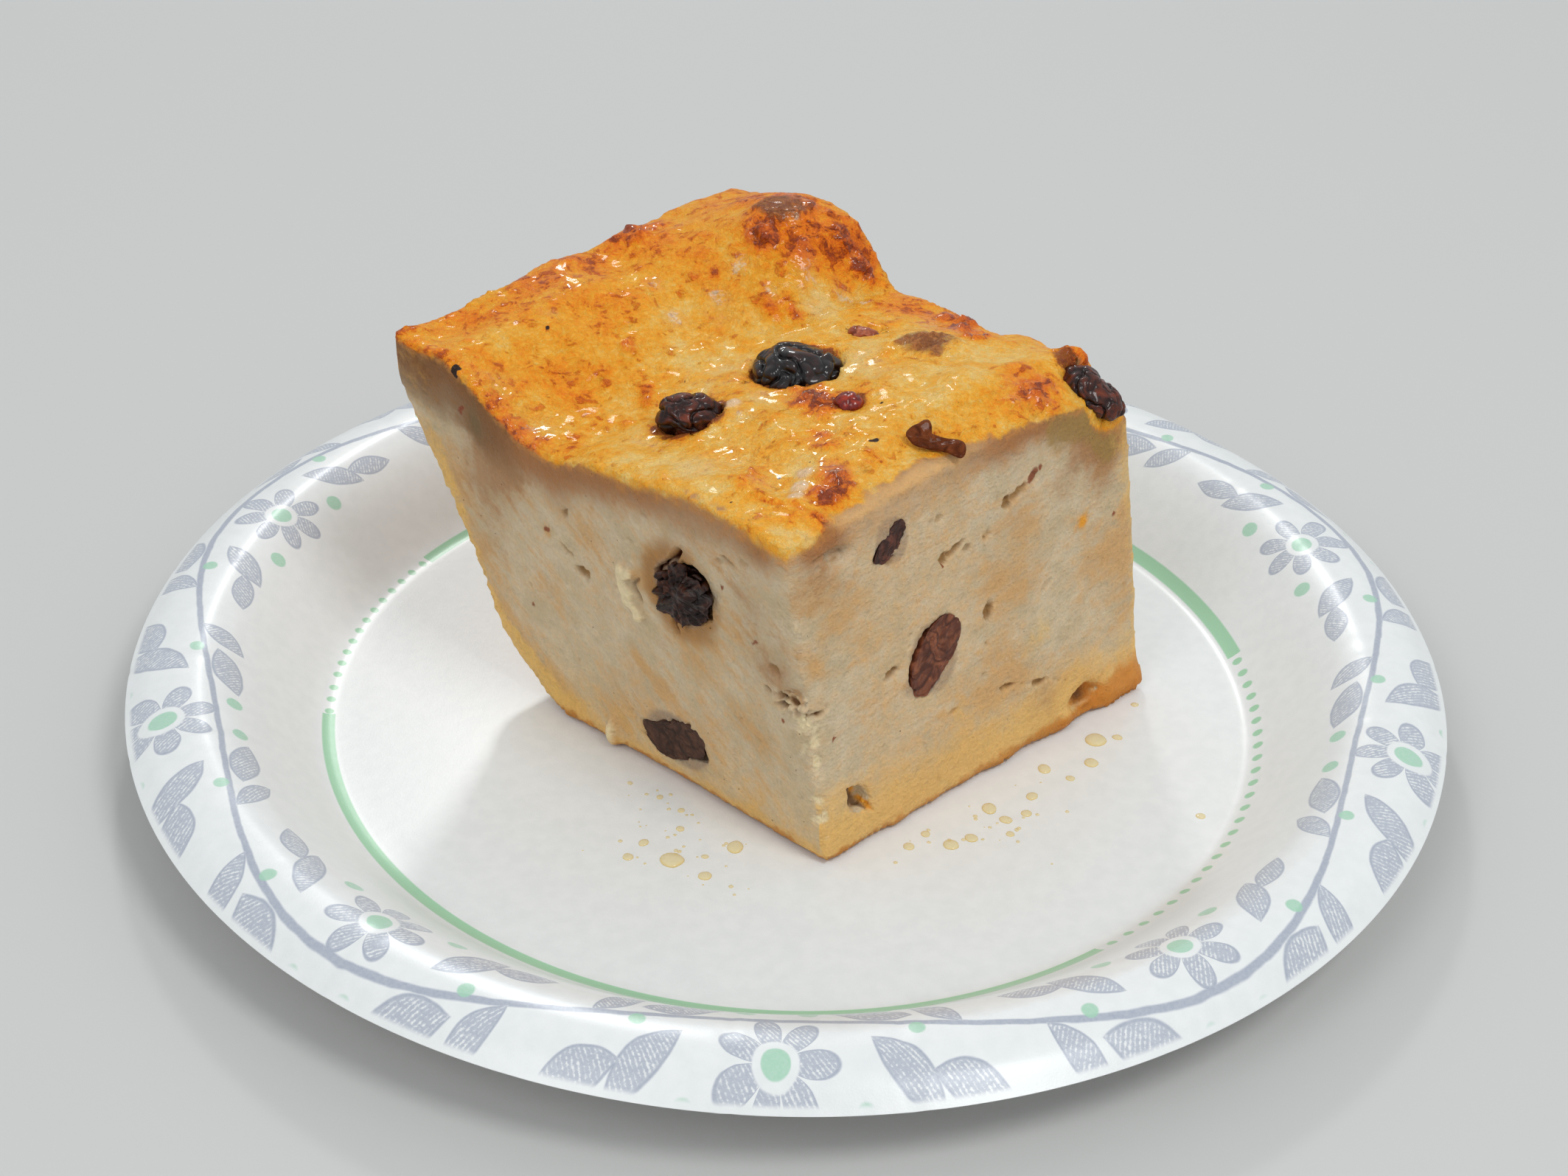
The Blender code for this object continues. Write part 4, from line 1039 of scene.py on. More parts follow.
def puddingFinish():
    shade = Shader("baked_custard_crumb")
    colours = puddingColours
    spot = shade.attribute("spot", 1)
    v, u, z = shade.split(spot)
    mask = {name: shade.attribute(name) for name in (
        "crust", "toast", "pale", "buried", "under", "rust", "gold", "wall", "footLine",
        "heel", "warmth", "yellow", "stain", "bruise", "greenish", "deep", "torn", "cleft",
        "speck", "tongue", "darkBand", "olive", "wet", "low", "bits", "amber", "rimLine",
        "stained", "gap", "dusk", "holeDark", "thinned", "glints")}
    fine = shade.grain(spot, 0.55, 3.0, 0.6)
    middle = shade.grain(spot, 1.9, 3.0, 0.55, 0.3)
    cloud = shade.grain(spot, 4.5, 3.0, 0.55, 0.6)
    broad = shade.grain(spot, 9.0, 2.0, 0.5, 0.4)
    streakPlace = shade.join((v + u + z * 0.6) * 0.28, z - u * 0.9 - v * 0.15, v * 0.1)
    streak = shade.grain(streakPlace, 3.2, 4.0, 0.6, 0.5)
    thread = shade.grain(streakPlace, 0.9, 2.0, 0.5)

    # Cut custard
    whiteness = (cloud * 0.9 + streak * 0.4 + broad * 0.6 + 0.5 - mask["warmth"] * 0.4)
    colour = shade.blend(whiteness.ramp(-0.1, 1.1), colours["cream"], colours["white"])
    warmth = (mask["warmth"] * 0.9 + streak * 0.9 + broad * 0.5 + middle * 0.5 + 0.24)
    colour = shade.blend(warmth.ramp(0.05, 1.1), colour, colours["warmBeige"])
    yellow = (mask["yellow"] + middle * 0.35 + broad * 0.4).ramp(0.3, 1.2)
    colour = shade.blend(yellow * 0.75, colour, colours["yellowCream"])
    low = (mask["low"] + cloud * 0.25 + middle * 0.15).ramp(-0.05, 0.7)
    colour = shade.blend(low * 0.9, colour, colours["lowGold"])
    dusk = (mask["dusk"] + cloud * 0.55 + middle * 0.35 + streak * 0.25 + 0.04).ramp(0.12, 1.1)
    colour = shade.blend(dusk * 0.9, colour, colours["dusk"])
    under = (mask["under"] + middle * 0.16 + fine * 0.08).ramp(0.05, 1.0)
    colour = shade.blend(under * 0.97, colour, colours["mauve"])
    colour = shade.blend((mask["darkBand"] + middle * 0.2).ramp(0.05, 0.9) * 0.75,
                         colour, colours["darkBand"])
    colour = shade.blend((mask["olive"] + middle * 0.5 + cloud * 0.3).ramp(0.2, 0.9) * 0.85,
                         colour, colours["olive"])
    colour = shade.blend((mask["rust"] + middle * 0.25).ramp(0.25, 0.95) * 0.85,
                         colour, colours["rust"])
    gold = (mask["gold"] + middle * 0.35 + fine * 0.15 + streak * 0.15).ramp(0.12, 1.0)
    colour = shade.blend(gold * 0.85, colour, colours["gold"])
    wall = (mask["wall"] + middle * 0.2).ramp(0.3, 0.8)
    lace = (middle * 0.8 + fine * 0.5 + broad * 0.8).ramp(-0.5, 0.9)
    wallColour = shade.blend(lace, colours["wall"], colours["gold"])
    colour = shade.blend(wall, colour, wallColour)
    stain = (mask["stain"] + middle * 0.2 + fine * 0.1).ramp(0.15, 1.0)
    colour = shade.blend(stain * 0.85, colour, colours["stain"])
    colour = shade.blend((mask["bruise"] + middle * 0.2).ramp(0.2, 1.0) * 0.7,
                         colour, colours["bruise"])
    colour = shade.blend(mask["greenish"] * 0.9, colour, colours["greenish"])
    colour = shade.blend((mask["heel"] + middle * 0.25 + fine * 0.1).ramp(0.05, 0.85) * 0.95,
                         colour, colours["heel"])
    colour = shade.blend((mask["footLine"] + middle * 0.25 + fine * 0.2).ramp(0.2, 0.95) * 0.85,
                         colour, colours["foot"])
    colour = shade.blend((mask["thinned"] + middle * 0.3).ramp(0.2, 1.0) * 0.7,
                         colour, colours["thinned"])
    colour = shade.blend((mask["torn"] + fine * 0.2).ramp(0.3, 1.0) * 0.85,
                         colour, colours["torn"])
    # Painted shade in the hollows of the cuts
    colour = shade.blend((mask["deep"] + fine * 0.1).ramp(0.15, 0.95) * 0.9,
                         colour, colours["deep"])
    # Painted shade in the tears of the front edge and in the groove beside the curl
    colour = shade.blend((mask["gap"] + fine * 0.15).ramp(0.15, 0.8) * 0.85,
                         colour, colours["gap"])
    # Painted shade deep in the cleft beside the upper left raisin
    colour = shade.blend((mask["cleft"] + fine * 0.15).ramp(0.25, 0.75), colour, colours["cleft"])
    colour = shade.blend((mask["rimLine"] + fine * 0.2).ramp(0.1, 1.0) * 0.6,
                         colour, colours["rimLine"])
    colour = shade.blend(mask["amber"].ramp(0.1, 0.8), colour, colours["amber"])
    # Painted shade in the corner hole and the notch
    colour = shade.blend((mask["holeDark"] + fine * 0.2).ramp(0.25, 0.85) * 0.9,
                         colour, colours["holeDark"])
    colour = shade.blend((mask["bits"] + fine * 0.25).ramp(0.3, 0.8) * 0.9,
                         colour, colours["bits"])
    tone = fine * 0.18 + thread * 0.06 + middle * 0.12 + 1.0
    colour = shade.vector("SCALE", colour, tone)

    # Spice specks
    cells = shade.add("ShaderNodeTexVoronoi", {"feature": "F1"},
                      {"Vector": spot, "Scale": 1 / 2.6, "Randomness": 1.0})
    chance = Wire(shade, cells.socket.node.outputs["Color"])
    chance = shade.split(chance)[0]
    speck = (cells < chance * 0.11 - 0.05) * 0.75

    # Crust
    film = shade.grain(spot, 2.6, 4.0, 0.62, 1.2)
    skin = abs(shade.grain(spot, 1.7, 3.0, 0.6, 1.6))  # fine wrinkles of the baked skin
    blister = (film * 0.9 + middle * 0.8 + mask["toast"] * 0.6).ramp(0.42, 0.72)  # small scorched domes
    toast = mask["toast"] + film * 0.28 + middle * 0.16 + fine * 0.16 + 0.03 - skin * 0.45
    toast = toast + blister * 0.17
    crustColour = shade.add("ShaderNodeValToRGB", {"stops": colours["toastStops"]}, {0: toast})
    pale = (mask["pale"] + film * 0.7 + cloud * 0.5 - mask["toast"] * 0.8 + 0.2).ramp(0.1, 1.0)
    crustColour = shade.blend(pale * 0.55, crustColour, colours["paleCrust"])
    # Painted highlight: whitish glare blended into the crust colour on the glint clusters
    paintedGlare = (mask["glints"] + film * 0.5 + middle * 0.6 + fine * 0.6).ramp(0.75, 1.3)
    crustColour = shade.blend(paintedGlare * 0.7, crustColour, colours["paintedGlare"])
    crustColour = shade.blend((mask["tongue"] + fine * 0.2).ramp(0.3, 0.9) * 0.8,
                              crustColour, colours["tongue"])
    buried = (mask["buried"] + film * 0.7 + middle * 0.3).ramp(0.25, 1.1)
    purple = shade.blend((film + fine).ramp(-0.3, 0.6), colours["buriedPurple"], colours["buriedBrown"])
    crustColour = shade.blend(buried * 0.95, crustColour, purple)
    stained = (mask["stained"] + film * 0.35 + fine * 0.2).ramp(0.25, 0.95)
    crustColour = shade.blend(stained * 0.85, crustColour, colours["stained"])
    crust = (mask["crust"] + fine * 0.12).ramp(0.1, 0.9)
    colour = shade.blend(crust, colour, crustColour)
    colour = shade.blend(speck, colour, colours["speck"])
    colour = shade.blend((mask["speck"] + fine * 0.2).ramp(0.3, 0.6), colour, colours["char"])

    # Relief too small for the mesh, and patches of wet shine
    ripple = shade.grain(spot, 1.0, 3.0, 0.65, 0.9)
    beads = shade.add("ShaderNodeTexVoronoi", {"feature": "F1"}, {"Vector": spot, "Scale": 1 / 1.3})
    wet = (mask["wet"] + middle * 0.5 + broad * 0.3).ramp(0.1, 0.8)
    height = fine * 0.6 + (abs(ripple) + skin) * crust * 1.2 + (thread * 0.4 + middle * 0.8) * (1 - crust)
    height = height - beads * crust * wet * 1.4 + blister * crust * 1.4
    normal = shade.bump(height, 0.00030, 0.95)
    return shade.finish({
        "Base Color": colour,
        "Roughness": 0.56 - crust * wet * 0.12 + fine * 0.06,
        "Coat Weight": crust * (wet * 0.66 + 0.10) * (1 - buried * 0.7) + 0.04,
        "Coat Roughness": 0.08,
        "Coat IOR": 1.42,
        "Specular IOR Level": 0.2,
        "Subsurface Weight": 0.25,
        "Subsurface Radius": (1.0, 0.6, 0.3),
        "Subsurface Scale": 0.0015,
    }, normal)


def makePudding():
    heights = topHeights(sharedCopy("pudding"))
    mesh = buildPuddingMesh(heights)
    shapePudding(mesh, heights)
    made = showMesh("bread_pudding", mesh, puddingFinish())
    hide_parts("pudding")
    mesh.calc_loop_triangles()
    print("pudding:", len(mesh.loop_triangles), "triangles")
    return made


makePudding()


# Raisins: each node's ball is refined and given deep folds

raisins = {
    "raisin_top_large": {"folds": 0.8, "width": 1.0, "seed": 3.0, "grow": 0.10, "kind": "baked"},
    "raisin_top_small": {"folds": 0.8, "width": 0.9, "seed": 9.0, "grow": 0.09, "kind": "browned"},
    "raisin_top_piece": {"folds": 0.9, "width": 0.9, "seed": 5.0, "grow": 0.50, "kind": "bead"},
    "raisin_top_sliver": {"folds": 1.2, "width": 0.8, "seed": 6.0, "grow": 0.30, "kind": "flake"},
    "raisin_corner": {"folds": 0.8, "width": 1.0, "seed": 12.0, "grow": 0.02, "kind": "browned"},
    "raisin_left_upper": {"folds": 1.5, "width": 0.6, "seed": 15.0, "grow": 0.05, "kind": "charred"},
    "raisin_left_lower": {"folds": 0.35, "width": 0.8, "seed": 18.0, "grow": 0.05, "kind": "sliced"},
    "raisin_right_middle": {"folds": 0.45, "width": 0.7, "seed": 21.0, "grow": 0.05, "kind": "cut"},
    "raisin_right_upper": {"folds": 0.8, "width": 0.7, "seed": 24.0, "grow": 0.0, "kind": "purple"},
}

raisinKinds = {
    "baked": {"dark": (0.006, 0.004, 0.004), "light": (0.045, 0.008, 0.004),
              "bloom": (0.028, 0.021, 0.022), "rough": 0.42, "coat": 0.95,
              "slot": "baked_raisin_skin"},
    "browned": {"dark": (0.022, 0.005, 0.003), "light": (0.22, 0.036, 0.009),
                "bloom": (0.10, 0.026, 0.014), "rough": 0.42, "coat": 0.6,
                "slot": "baked_raisin_skin"},
    "bead": {"dark": (0.18, 0.010, 0.005), "light": (0.55, 0.05, 0.012),
             "bloom": (0.40, 0.10, 0.05), "rough": 0.25, "coat": 0.9, "slot": "baked_raisin_skin"},
    "flake": {"dark": (0.34, 0.07, 0.03), "light": (0.68, 0.24, 0.11),
              "bloom": (0.70, 0.40, 0.26), "rough": 0.35, "coat": 0.7, "slot": "baked_raisin_skin"},
    "charred": {"dark": (0.016, 0.005, 0.003), "light": (0.11, 0.028, 0.010),
                "bloom": (0.10, 0.040, 0.020), "rough": 0.48, "coat": 0.22,
                "slot": "cut_raisin_flesh"},
    "sliced": {"dark": (0.060, 0.025, 0.015), "light": (0.13, 0.056, 0.032),
               "bloom": (0.13, 0.065, 0.042), "rough": 0.6, "coat": 0.03,
               "slot": "cut_raisin_flesh"},
    "cut": {"dark": (0.12, 0.030, 0.013), "light": (0.35, 0.110, 0.045),
            "bloom": (0.44, 0.21, 0.12), "rough": 0.5, "coat": 0.2,
            "slot": "cut_raisin_flesh"},
    "purple": {"dark": (0.050, 0.016, 0.010), "light": (0.20, 0.060, 0.036),
               "bloom": (0.30, 0.16, 0.12), "rough": 0.5, "coat": 0.2,
               "slot": "cut_raisin_flesh"},
}


def raisinFinish(kind):
    values = raisinKinds[kind]
    shade = Shader("raisin_" + kind)
    place = shade.place()
    fold = shade.attribute("fold")
    fine = shade.grain(place, 0.5, 4.0, 0.6)
    middle = shade.grain(place, 1.8, 3.0, 0.55, 0.5)
    # Colour is darker, with less bloom, in the folds: painted shade in the creases
    colour = shade.blend((middle * 0.9 + 0.35 - fold * 0.5).ramp(0.0, 1.0),
                         values["dark"], values["light"])
    bloom = (fine * 0.9 + middle * 0.6 - fold * 0.6).ramp(0.25, 1.0)
    colour = shade.blend(bloom * 0.5, colour, values["bloom"])
    colour = shade.vector("SCALE", colour, 1.0 - fold * 0.45)
    wrinkles = shade.grain(place, 1.1, 2.0, 0.5, 0.8)
    normal = shade.bump(abs(wrinkles) * 0.6 + fine * 0.2, 0.00014, 0.5)
    return shade.finish({
        "Base Color": colour,
        "Roughness": fine * 0.08 + middle * 0.06 + values["rough"],
        "Coat Weight": (1.0 - fold * 0.5) * values["coat"],
        "Coat Roughness": 0.06,
        "Coat IOR": 1.4,
        "Specular IOR Level": 0.2,
        "Subsurface Weight": 0.05,
        "Subsurface Radius": (1.0, 0.3, 0.2),
        "Subsurface Scale": 0.001,
    }, normal)


def makeRaisins():
    finishes = {kind: raisinFinish(kind) for kind in raisinKinds}
    for name, values in raisins.items():
        levels = 2 + (name in bigRaisins)
        mesh = withModifier(sharedCopy(name), "SUBSURF", levels=levels, render_levels=levels)
        points = pointsOf(mesh)
        normals = normalsOf(mesh)
        low, high = (np.array(corner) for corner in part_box(name))
        middle = (low + high) / 2
        half = (high - low) / 2
        unit = (points - middle) / half.max()
        seed, width = values["seed"], values["width"]
        bend = unit + 0.3 * np.column_stack(
            [noiseAt(unit, 0.7, seed + shift) for shift in (1, 2, 3)])
        lobes = noiseAt(bend, 0.9 * width, seed + 2)
        first = np.exp(-(noiseAt(bend, 0.75 * width, seed) / 0.085) ** 2)
        second = np.exp(-(noiseAt(bend, 0.36 * width, seed + 4) / 0.11) ** 2)
        tiny = noiseAt(unit, 0.15, seed + 8)
        size = half.max() / mm
        depth = values["folds"] * size * (0.13 * first + 0.030 * second * (1 - first)
                                          - 0.14 * lobes - 0.006 * tiny)
        grow = values["grow"] * size  # the refined ball shrinks a little
        points = points + normals * ((grow - depth) * mm)[:, None]
        if name in cutRaisins:
            points = cutFlat(points, name)
        movePoints(mesh, points)
        # The fold mask also darkens the finish in the creases, as painted shade
        storeMask(mesh, "fold", np.clip(first * 0.8 + second * 0.5, 0, 1))
        made = showMesh(name + "_skin", mesh, finishes[values["kind"]])
        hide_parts(name)


bigRaisins = ("raisin_top_large", "raisin_top_small", "raisin_corner", "raisin_left_upper",
              "raisin_left_lower", "raisin_right_middle")


def cutFlat(points, name):  # the cut flesh: flush with the face, out to its outline
    places = piece.local(points)
    middle, half = raisinPlace(name)
    values = cutRaisins[name]
    axis, along = values["axis"], 1 - values["axis"]
    face = -values["standOut"]
    inward = places[:, axis] - face
    offset = np.column_stack([places[:, along] - middle[along], places[:, 2] - middle[2]])
    away = np.maximum(np.hypot(*offset.T), 0.05)
    angle = np.arctan2(offset[:, 1], offset[:, 0])
    edge = 1 / np.hypot(np.cos(angle) / half[along], np.sin(angle) / half[2])
    goal = outlineReach(name, middle, angle) + 0.75
    stretch = 1 + (goal / edge - 1) * (1 - ease(inward, 0.6, 2.6)) * ease(away / edge, 0.0, 0.9)
    places[:, along] = middle[along] + offset[:, 0] * stretch
    places[:, 2] = middle[2] + offset[:, 1] * stretch
    flatness = 1 - ease(inward, 0.5, 1.8)
    places[:, axis] = face + inward * (1 - flatness)
    # Radial creases where a whole raisin tore, fine cracks where the knife went through
    ring = np.column_stack([np.cos(angle) * 1.6, np.sin(angle) * 1.6, away * 0.10])
    petals = 1 - np.abs(noiseAt(ring, 0.55, 4.0)) * 3.2
    cracks = np.abs(noiseAt(places, 2.0, 6.0)) + 0.5 * np.abs(noiseAt(places, 0.9, 9.0))
    ragged = ease(values["ragged"], 0.4, 0.7)
    dome = ragged * 0.5 * (1 - (away / goal) ** 2)
    relief = ragged * (0.55 * petals * ease(away, 0.6, 2.2) + dome) + 0.5 * cracks
    places[:, axis] -= (relief - 0.12) * flatness * (0.35 + 0.65 * ragged)
    return piece.world(places)


makeRaisins()
print("raisins: made")


# Dried chip on the crust: a curled flake with a horn, drawn to the right and up on its own
# sloping plane, in millimetres

chip = {
    "outline": ((-1.4, 3.7), (-2.8, 2.7), (-4.1, 1.6), (-4.5, 0.7), (-4.2, -0.1), (-2.5, -1.4),
                (0.0, -1.6), (2.0, -2.1), (3.7, -3.1), (4.5, -1.8), (4.0, 0.2), (1.3, 0.8),
                (-0.7, 1.6), (-0.6, 2.8)),
    "middle": (-0.6, -0.2),
    "slope": 34.0,
    "lift": -0.45,
    "thickness": 0.62,
    "rings": 10,
    "steps": 6,
}


def chipMesh():
    rim = closedCurve(chip["outline"], chip["steps"])
    middle = np.array(chip["middle"])
    rings, around = chip["rings"], len(rim)
    flat, swell = [], []
    for ring in range(1, rings + 1):
        share = sin(pi / 2 * ring / rings)
        flat.append(middle + (rim - middle) * share)
        swell.append(np.full(around, (1 - share ** 5) ** 0.5))
    flat = np.concatenate([middle[None], *flat])
    swell = np.concatenate([[1.0], *swell])
    a, b = flat.T
    place = np.column_stack([flat, 0 * a])
    curl = 0.05 * (a - 0.5) ** 2 - 0.10 * b + 0.28 * np.maximum(b - 1.5, 0) ** 1.3
    curl -= 0.35 * ease(a, 3.0, 4.6)
    fold = 0.35 * np.exp(-((a + 0.4 * b + 2.6) / 0.8) ** 2) - 0.3 * np.exp(-((b - 0.15 * a + 0.2) / 0.6) ** 2)
    wrinkle = 0.16 * noiseAt(place, 1.3, 4.0) + 0.08 * noiseAt(place, 0.55, 8.0)
    body = chip["thickness"] * swell * (0.8 + 0.5 * noiseAt(place, 2.2, 12.0))
    slope = radians(chip["slope"])
    low, high = (np.array(corner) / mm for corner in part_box("chip"))
    origin = (low + high) / 2 + (0, 0, chip["lift"])
    across = np.array([1.0, 0, 0])
    upward = np.array([0, cos(slope), sin(slope)])
    out = np.array([0, -sin(slope), cos(slope)])
    sheet = origin + np.outer(a, across) + np.outer(b * 0.95, upward)
    top = sheet + np.outer(curl + fold + wrinkle * swell + body, out)
    bottom = sheet + np.outer(curl + fold - 0.5 * body, out)
    count = len(flat)
    faces = []
    for step in range(around):
        after = (step + 1) % around
        faces.append((0, 1 + step, 1 + after))
        faces.append((count, count + 1 + after, count + 1 + step))
        for ring in range(rings - 1):
            p, q = 1 + ring * around, 1 + (ring + 1) * around
            faces.append((p + step, q + step, q + after, p + after))
            faces.append((count + p + step, count + p + after, count + q + after, count + q + step))
        last = 1 + (rings - 1) * around
        faces.append((last + step, count + last + step, count + last + after, last + after))
    points = np.concatenate([top, bottom])
    points = np.clip(points, low, high) * mm
    mesh = bpy.data.meshes.new("dried_chip")
    mesh.from_pydata(points.tolist(), [], faces)
    mesh.update()
    shape = bmesh.new()
    shape.from_mesh(mesh)
    bmesh.ops.recalc_face_normals(shape, faces=shape.faces)
    shape.to_mesh(mesh)
    shape.free()
    return mesh


def chipFinish():
    shade = Shader("dried_chip_leather")
    place = shade.place()
    fine = shade.grain(place, 0.35, 4.0, 0.65)
    middle = shade.grain(place, 1.6, 3.0, 0.6, 0.6)
    colour = shade.blend((middle + 0.4).ramp(-0.2, 1.1), (0.07, 0.013, 0.003), (0.25, 0.056, 0.009))
    colour = shade.blend((fine + middle * 0.4).ramp(0.25, 0.9) * 0.5, colour, (0.40, 0.13, 0.03))
    normal = shade.bump(middle * 0.7 + fine * 0.6, 0.00032, 0.9)
    return shade.finish({"Base Color": colour, "Roughness": fine * 0.1 + 0.5,
                         "Coat Weight": middle * 0.3 + 0.15, "Coat Roughness": 0.12,
                         "Specular IOR Level": 0.08}, normal)


def makeChip():
    made = showMesh("dried_chip", chipMesh(), chipFinish())
    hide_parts("chip")


makeChip()
print("chip: made")


# Plate

plate = {
    "around": 480,
    "section": (0.0, 20.0, 40.0, 60.0, 72.0, 75.0),  # radii inside the cove
    "pleats": 23,
    "pleatDepth": 0.16,
    "pleatWidth": 0.55,
    "fromWall": (79.0, 107.97, 34),
}


def plateSection():  # upper and lower height at each radius, measured on the node
    mesh = sharedCopy("plate")
    tree = BVHTree.FromPolygons(
        [vertex.co for vertex in mesh.vertices], [face.vertices for face in mesh.polygons])
    start, end, count = plate["fromWall"]
    radii = [*plate["section"], 76.5, 77.5, 78.2]
    radii += [start + (end - start) * step / (count - 1) for step in range(count)]
    tilt = pi / 72  # rays meet the middle of a facet, where it is nearest the axis
    upper, lower = [], []
    for radius in radii:
        x, y = radius * mm * cos(tilt * 2), radius * mm * sin(tilt * 2)
        above = tree.ray_cast(Vector((x, y, 0.1)), Vector((0, 0, -1)))[0]
        below = tree.ray_cast(Vector((x, y, -0.1)), Vector((0, 0, 1)))[0]
        upper.append(above.z / mm if above else upper[-1])
        lower.append(below.z / mm if below else lower[-1])
    bpy.data.meshes.remove(mesh)
    return np.array(radii), np.array(upper), np.array(lower)


def evenOut(values, rounds):  # rounds the section's corners
    for step in range(rounds):
        inner = (values[:-2] + 2 * values[1:-1] + values[2:]) / 4
        values = np.concatenate([values[:1], inner, values[-1:]])
    return values


def pleatRelief(angle, radius):
    rng = np.random.default_rng(8)
    total = np.zeros_like(angle)
    line = np.zeros_like(angle)
    for index in range(plate["pleats"]):
        middle = 2 * pi * (index + rng.uniform(-0.22, 0.22)) / plate["pleats"]
        strength = rng.uniform(0.35, 1.0)
        start = rng.uniform(80, 86)
        away = (angle - middle + pi) % (2 * pi) - pi
        across = away * radius
        fade = ease(radius, start, start + 7)
        total -= strength * fade * plate["pleatDepth"] * np.exp(-(across / plate["pleatWidth"]) ** 2)
        total += strength * fade * 0.07 * np.exp(-((across - 1.4) / 1.2) ** 2)
        # line marks each pleat's crease, later painted as a faint grey shade line
        line = np.maximum(line, strength * fade * np.exp(-(across / 0.3) ** 2))
    return total, line


def makePlate():
    radii, upper, lower = plateSection()
    wall = radii > 78
    upper = evenOut(upper, 2)
    lower = evenOut(lower, 2)
    lower[radii < 77] = 0.0
    around = plate["around"]
    angles = np.arange(around) * 2 * pi / around
    grid, angle = np.meshgrid(radii[1:], angles, indexing="ij")
    relief, line = pleatRelief(angle, grid)
    swell = 0.12 * np.sin(3 * angle + 1.0) + 0.08 * np.sin(5 * angle)
    swell = swell * ease(grid, 84, 104)
    top = np.repeat(upper[1:, None], around, 1) + relief + swell
    bottom = np.repeat(lower[1:, None], around, 1) + relief + swell
    bottom = np.maximum(bottom, 0.0)
    rings = len(radii) - 1
    edge = np.where(grid > 107.9, np.minimum(0.0, relief * 0.6), 0.0)
    x, y = (grid + edge) * np.cos(angle), (grid + edge) * np.sin(angle)
    points = [(0, 0, upper[0]), (0, 0, lower[0])]
    points += np.column_stack([x.ravel(), y.ravel(), top.ravel()]).tolist()
    points += np.column_stack([x.ravel(), y.ravel(), bottom.ravel()]).tolist()
    points = np.array(points) * mm
    topStart, bottomStart = 2, 2 + rings * around
    faces = []
    for step in range(around):
        after = (step + 1) % around
        faces.append((0, topStart + step, topStart + after))
        faces.append((1, bottomStart + after, bottomStart + step))
        for ring in range(rings - 1):
            a, b = ring * around, (ring + 1) * around
            faces.append((topStart + a + step, topStart + b + step,
                          topStart + b + after, topStart + a + after))
            faces.append((bottomStart + a + step, bottomStart + a + after,
                          bottomStart + b + after, bottomStart + b + step))
        last = (rings - 1) * around
        faces.append((topStart + last + step, bottomStart + last + step,
                      bottomStart + last + after, topStart + last + after))
    mesh = bpy.data.meshes.new("paper_plate")
    mesh.from_pydata(points.tolist(), [], faces)
    mesh.update()
    pleat = np.concatenate([[0, 0], line.ravel(), line.ravel()])
    side = np.concatenate([[1, 0], np.ones(rings * around), np.zeros(rings * around)])
    storeMask(mesh, "pleat", pleat)
    storeMask(mesh, "face", side)
    made = showMesh("paper_plate", mesh, plateFinish())
    mesh.set_sharp_from_angle(angle=radians(50))
    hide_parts("plate")
    print("plate:", len(faces), "faces")


# Border print: a running stem with a blossom in each hollow, drawn in polar coordinates.
# Lengths are in millimetres along and across the band
border = {
    "waves": 10,
    "middle": 100.0,
    "climb": 0.45,  # the band's distance grows with the plate's height
    "swing": 5.0,
    "stemHalf": 0.5,
    "blossom": (0.0, -3.4, 8.6),
    "petals": 7,
    # middle along and across, tilt, half length, half width
    "leaves": (
        (-13.6, 7.4, 20, 6.6, 3.0), (13.6, 7.4, -20, 6.6, 3.0),
        (-23.0, 6.0, 55, 5.4, 2.2), (23.0, 6.0, -55, 5.4, 2.2),
        (-17.0, -4.0, 48, 6.4, 2.7), (17.0, -4.0, -48, 6.4, 2.7),
        (-24.8, -6.2, 16, 5.2, 2.4), (24.8, -6.2, -16, 5.2, 2.4),
    ),
    "berries": ((-4.6, 8.6, 1.5), (4.6, 8.6, 1.5), (-11.2, -8.6, 1.6), (11.2, -8.6, 1.6),
                (-19.4, 1.6, 1.2), (19.4, 1.6, 1.2)),
    "ring": (78.0, 1.05, 1.2),  # radius, half width, shift along X
    "ringGaps": ((150, 187), (-53, 10)),  # bare stretches between these angles
    "dotStep": 3.4,
}


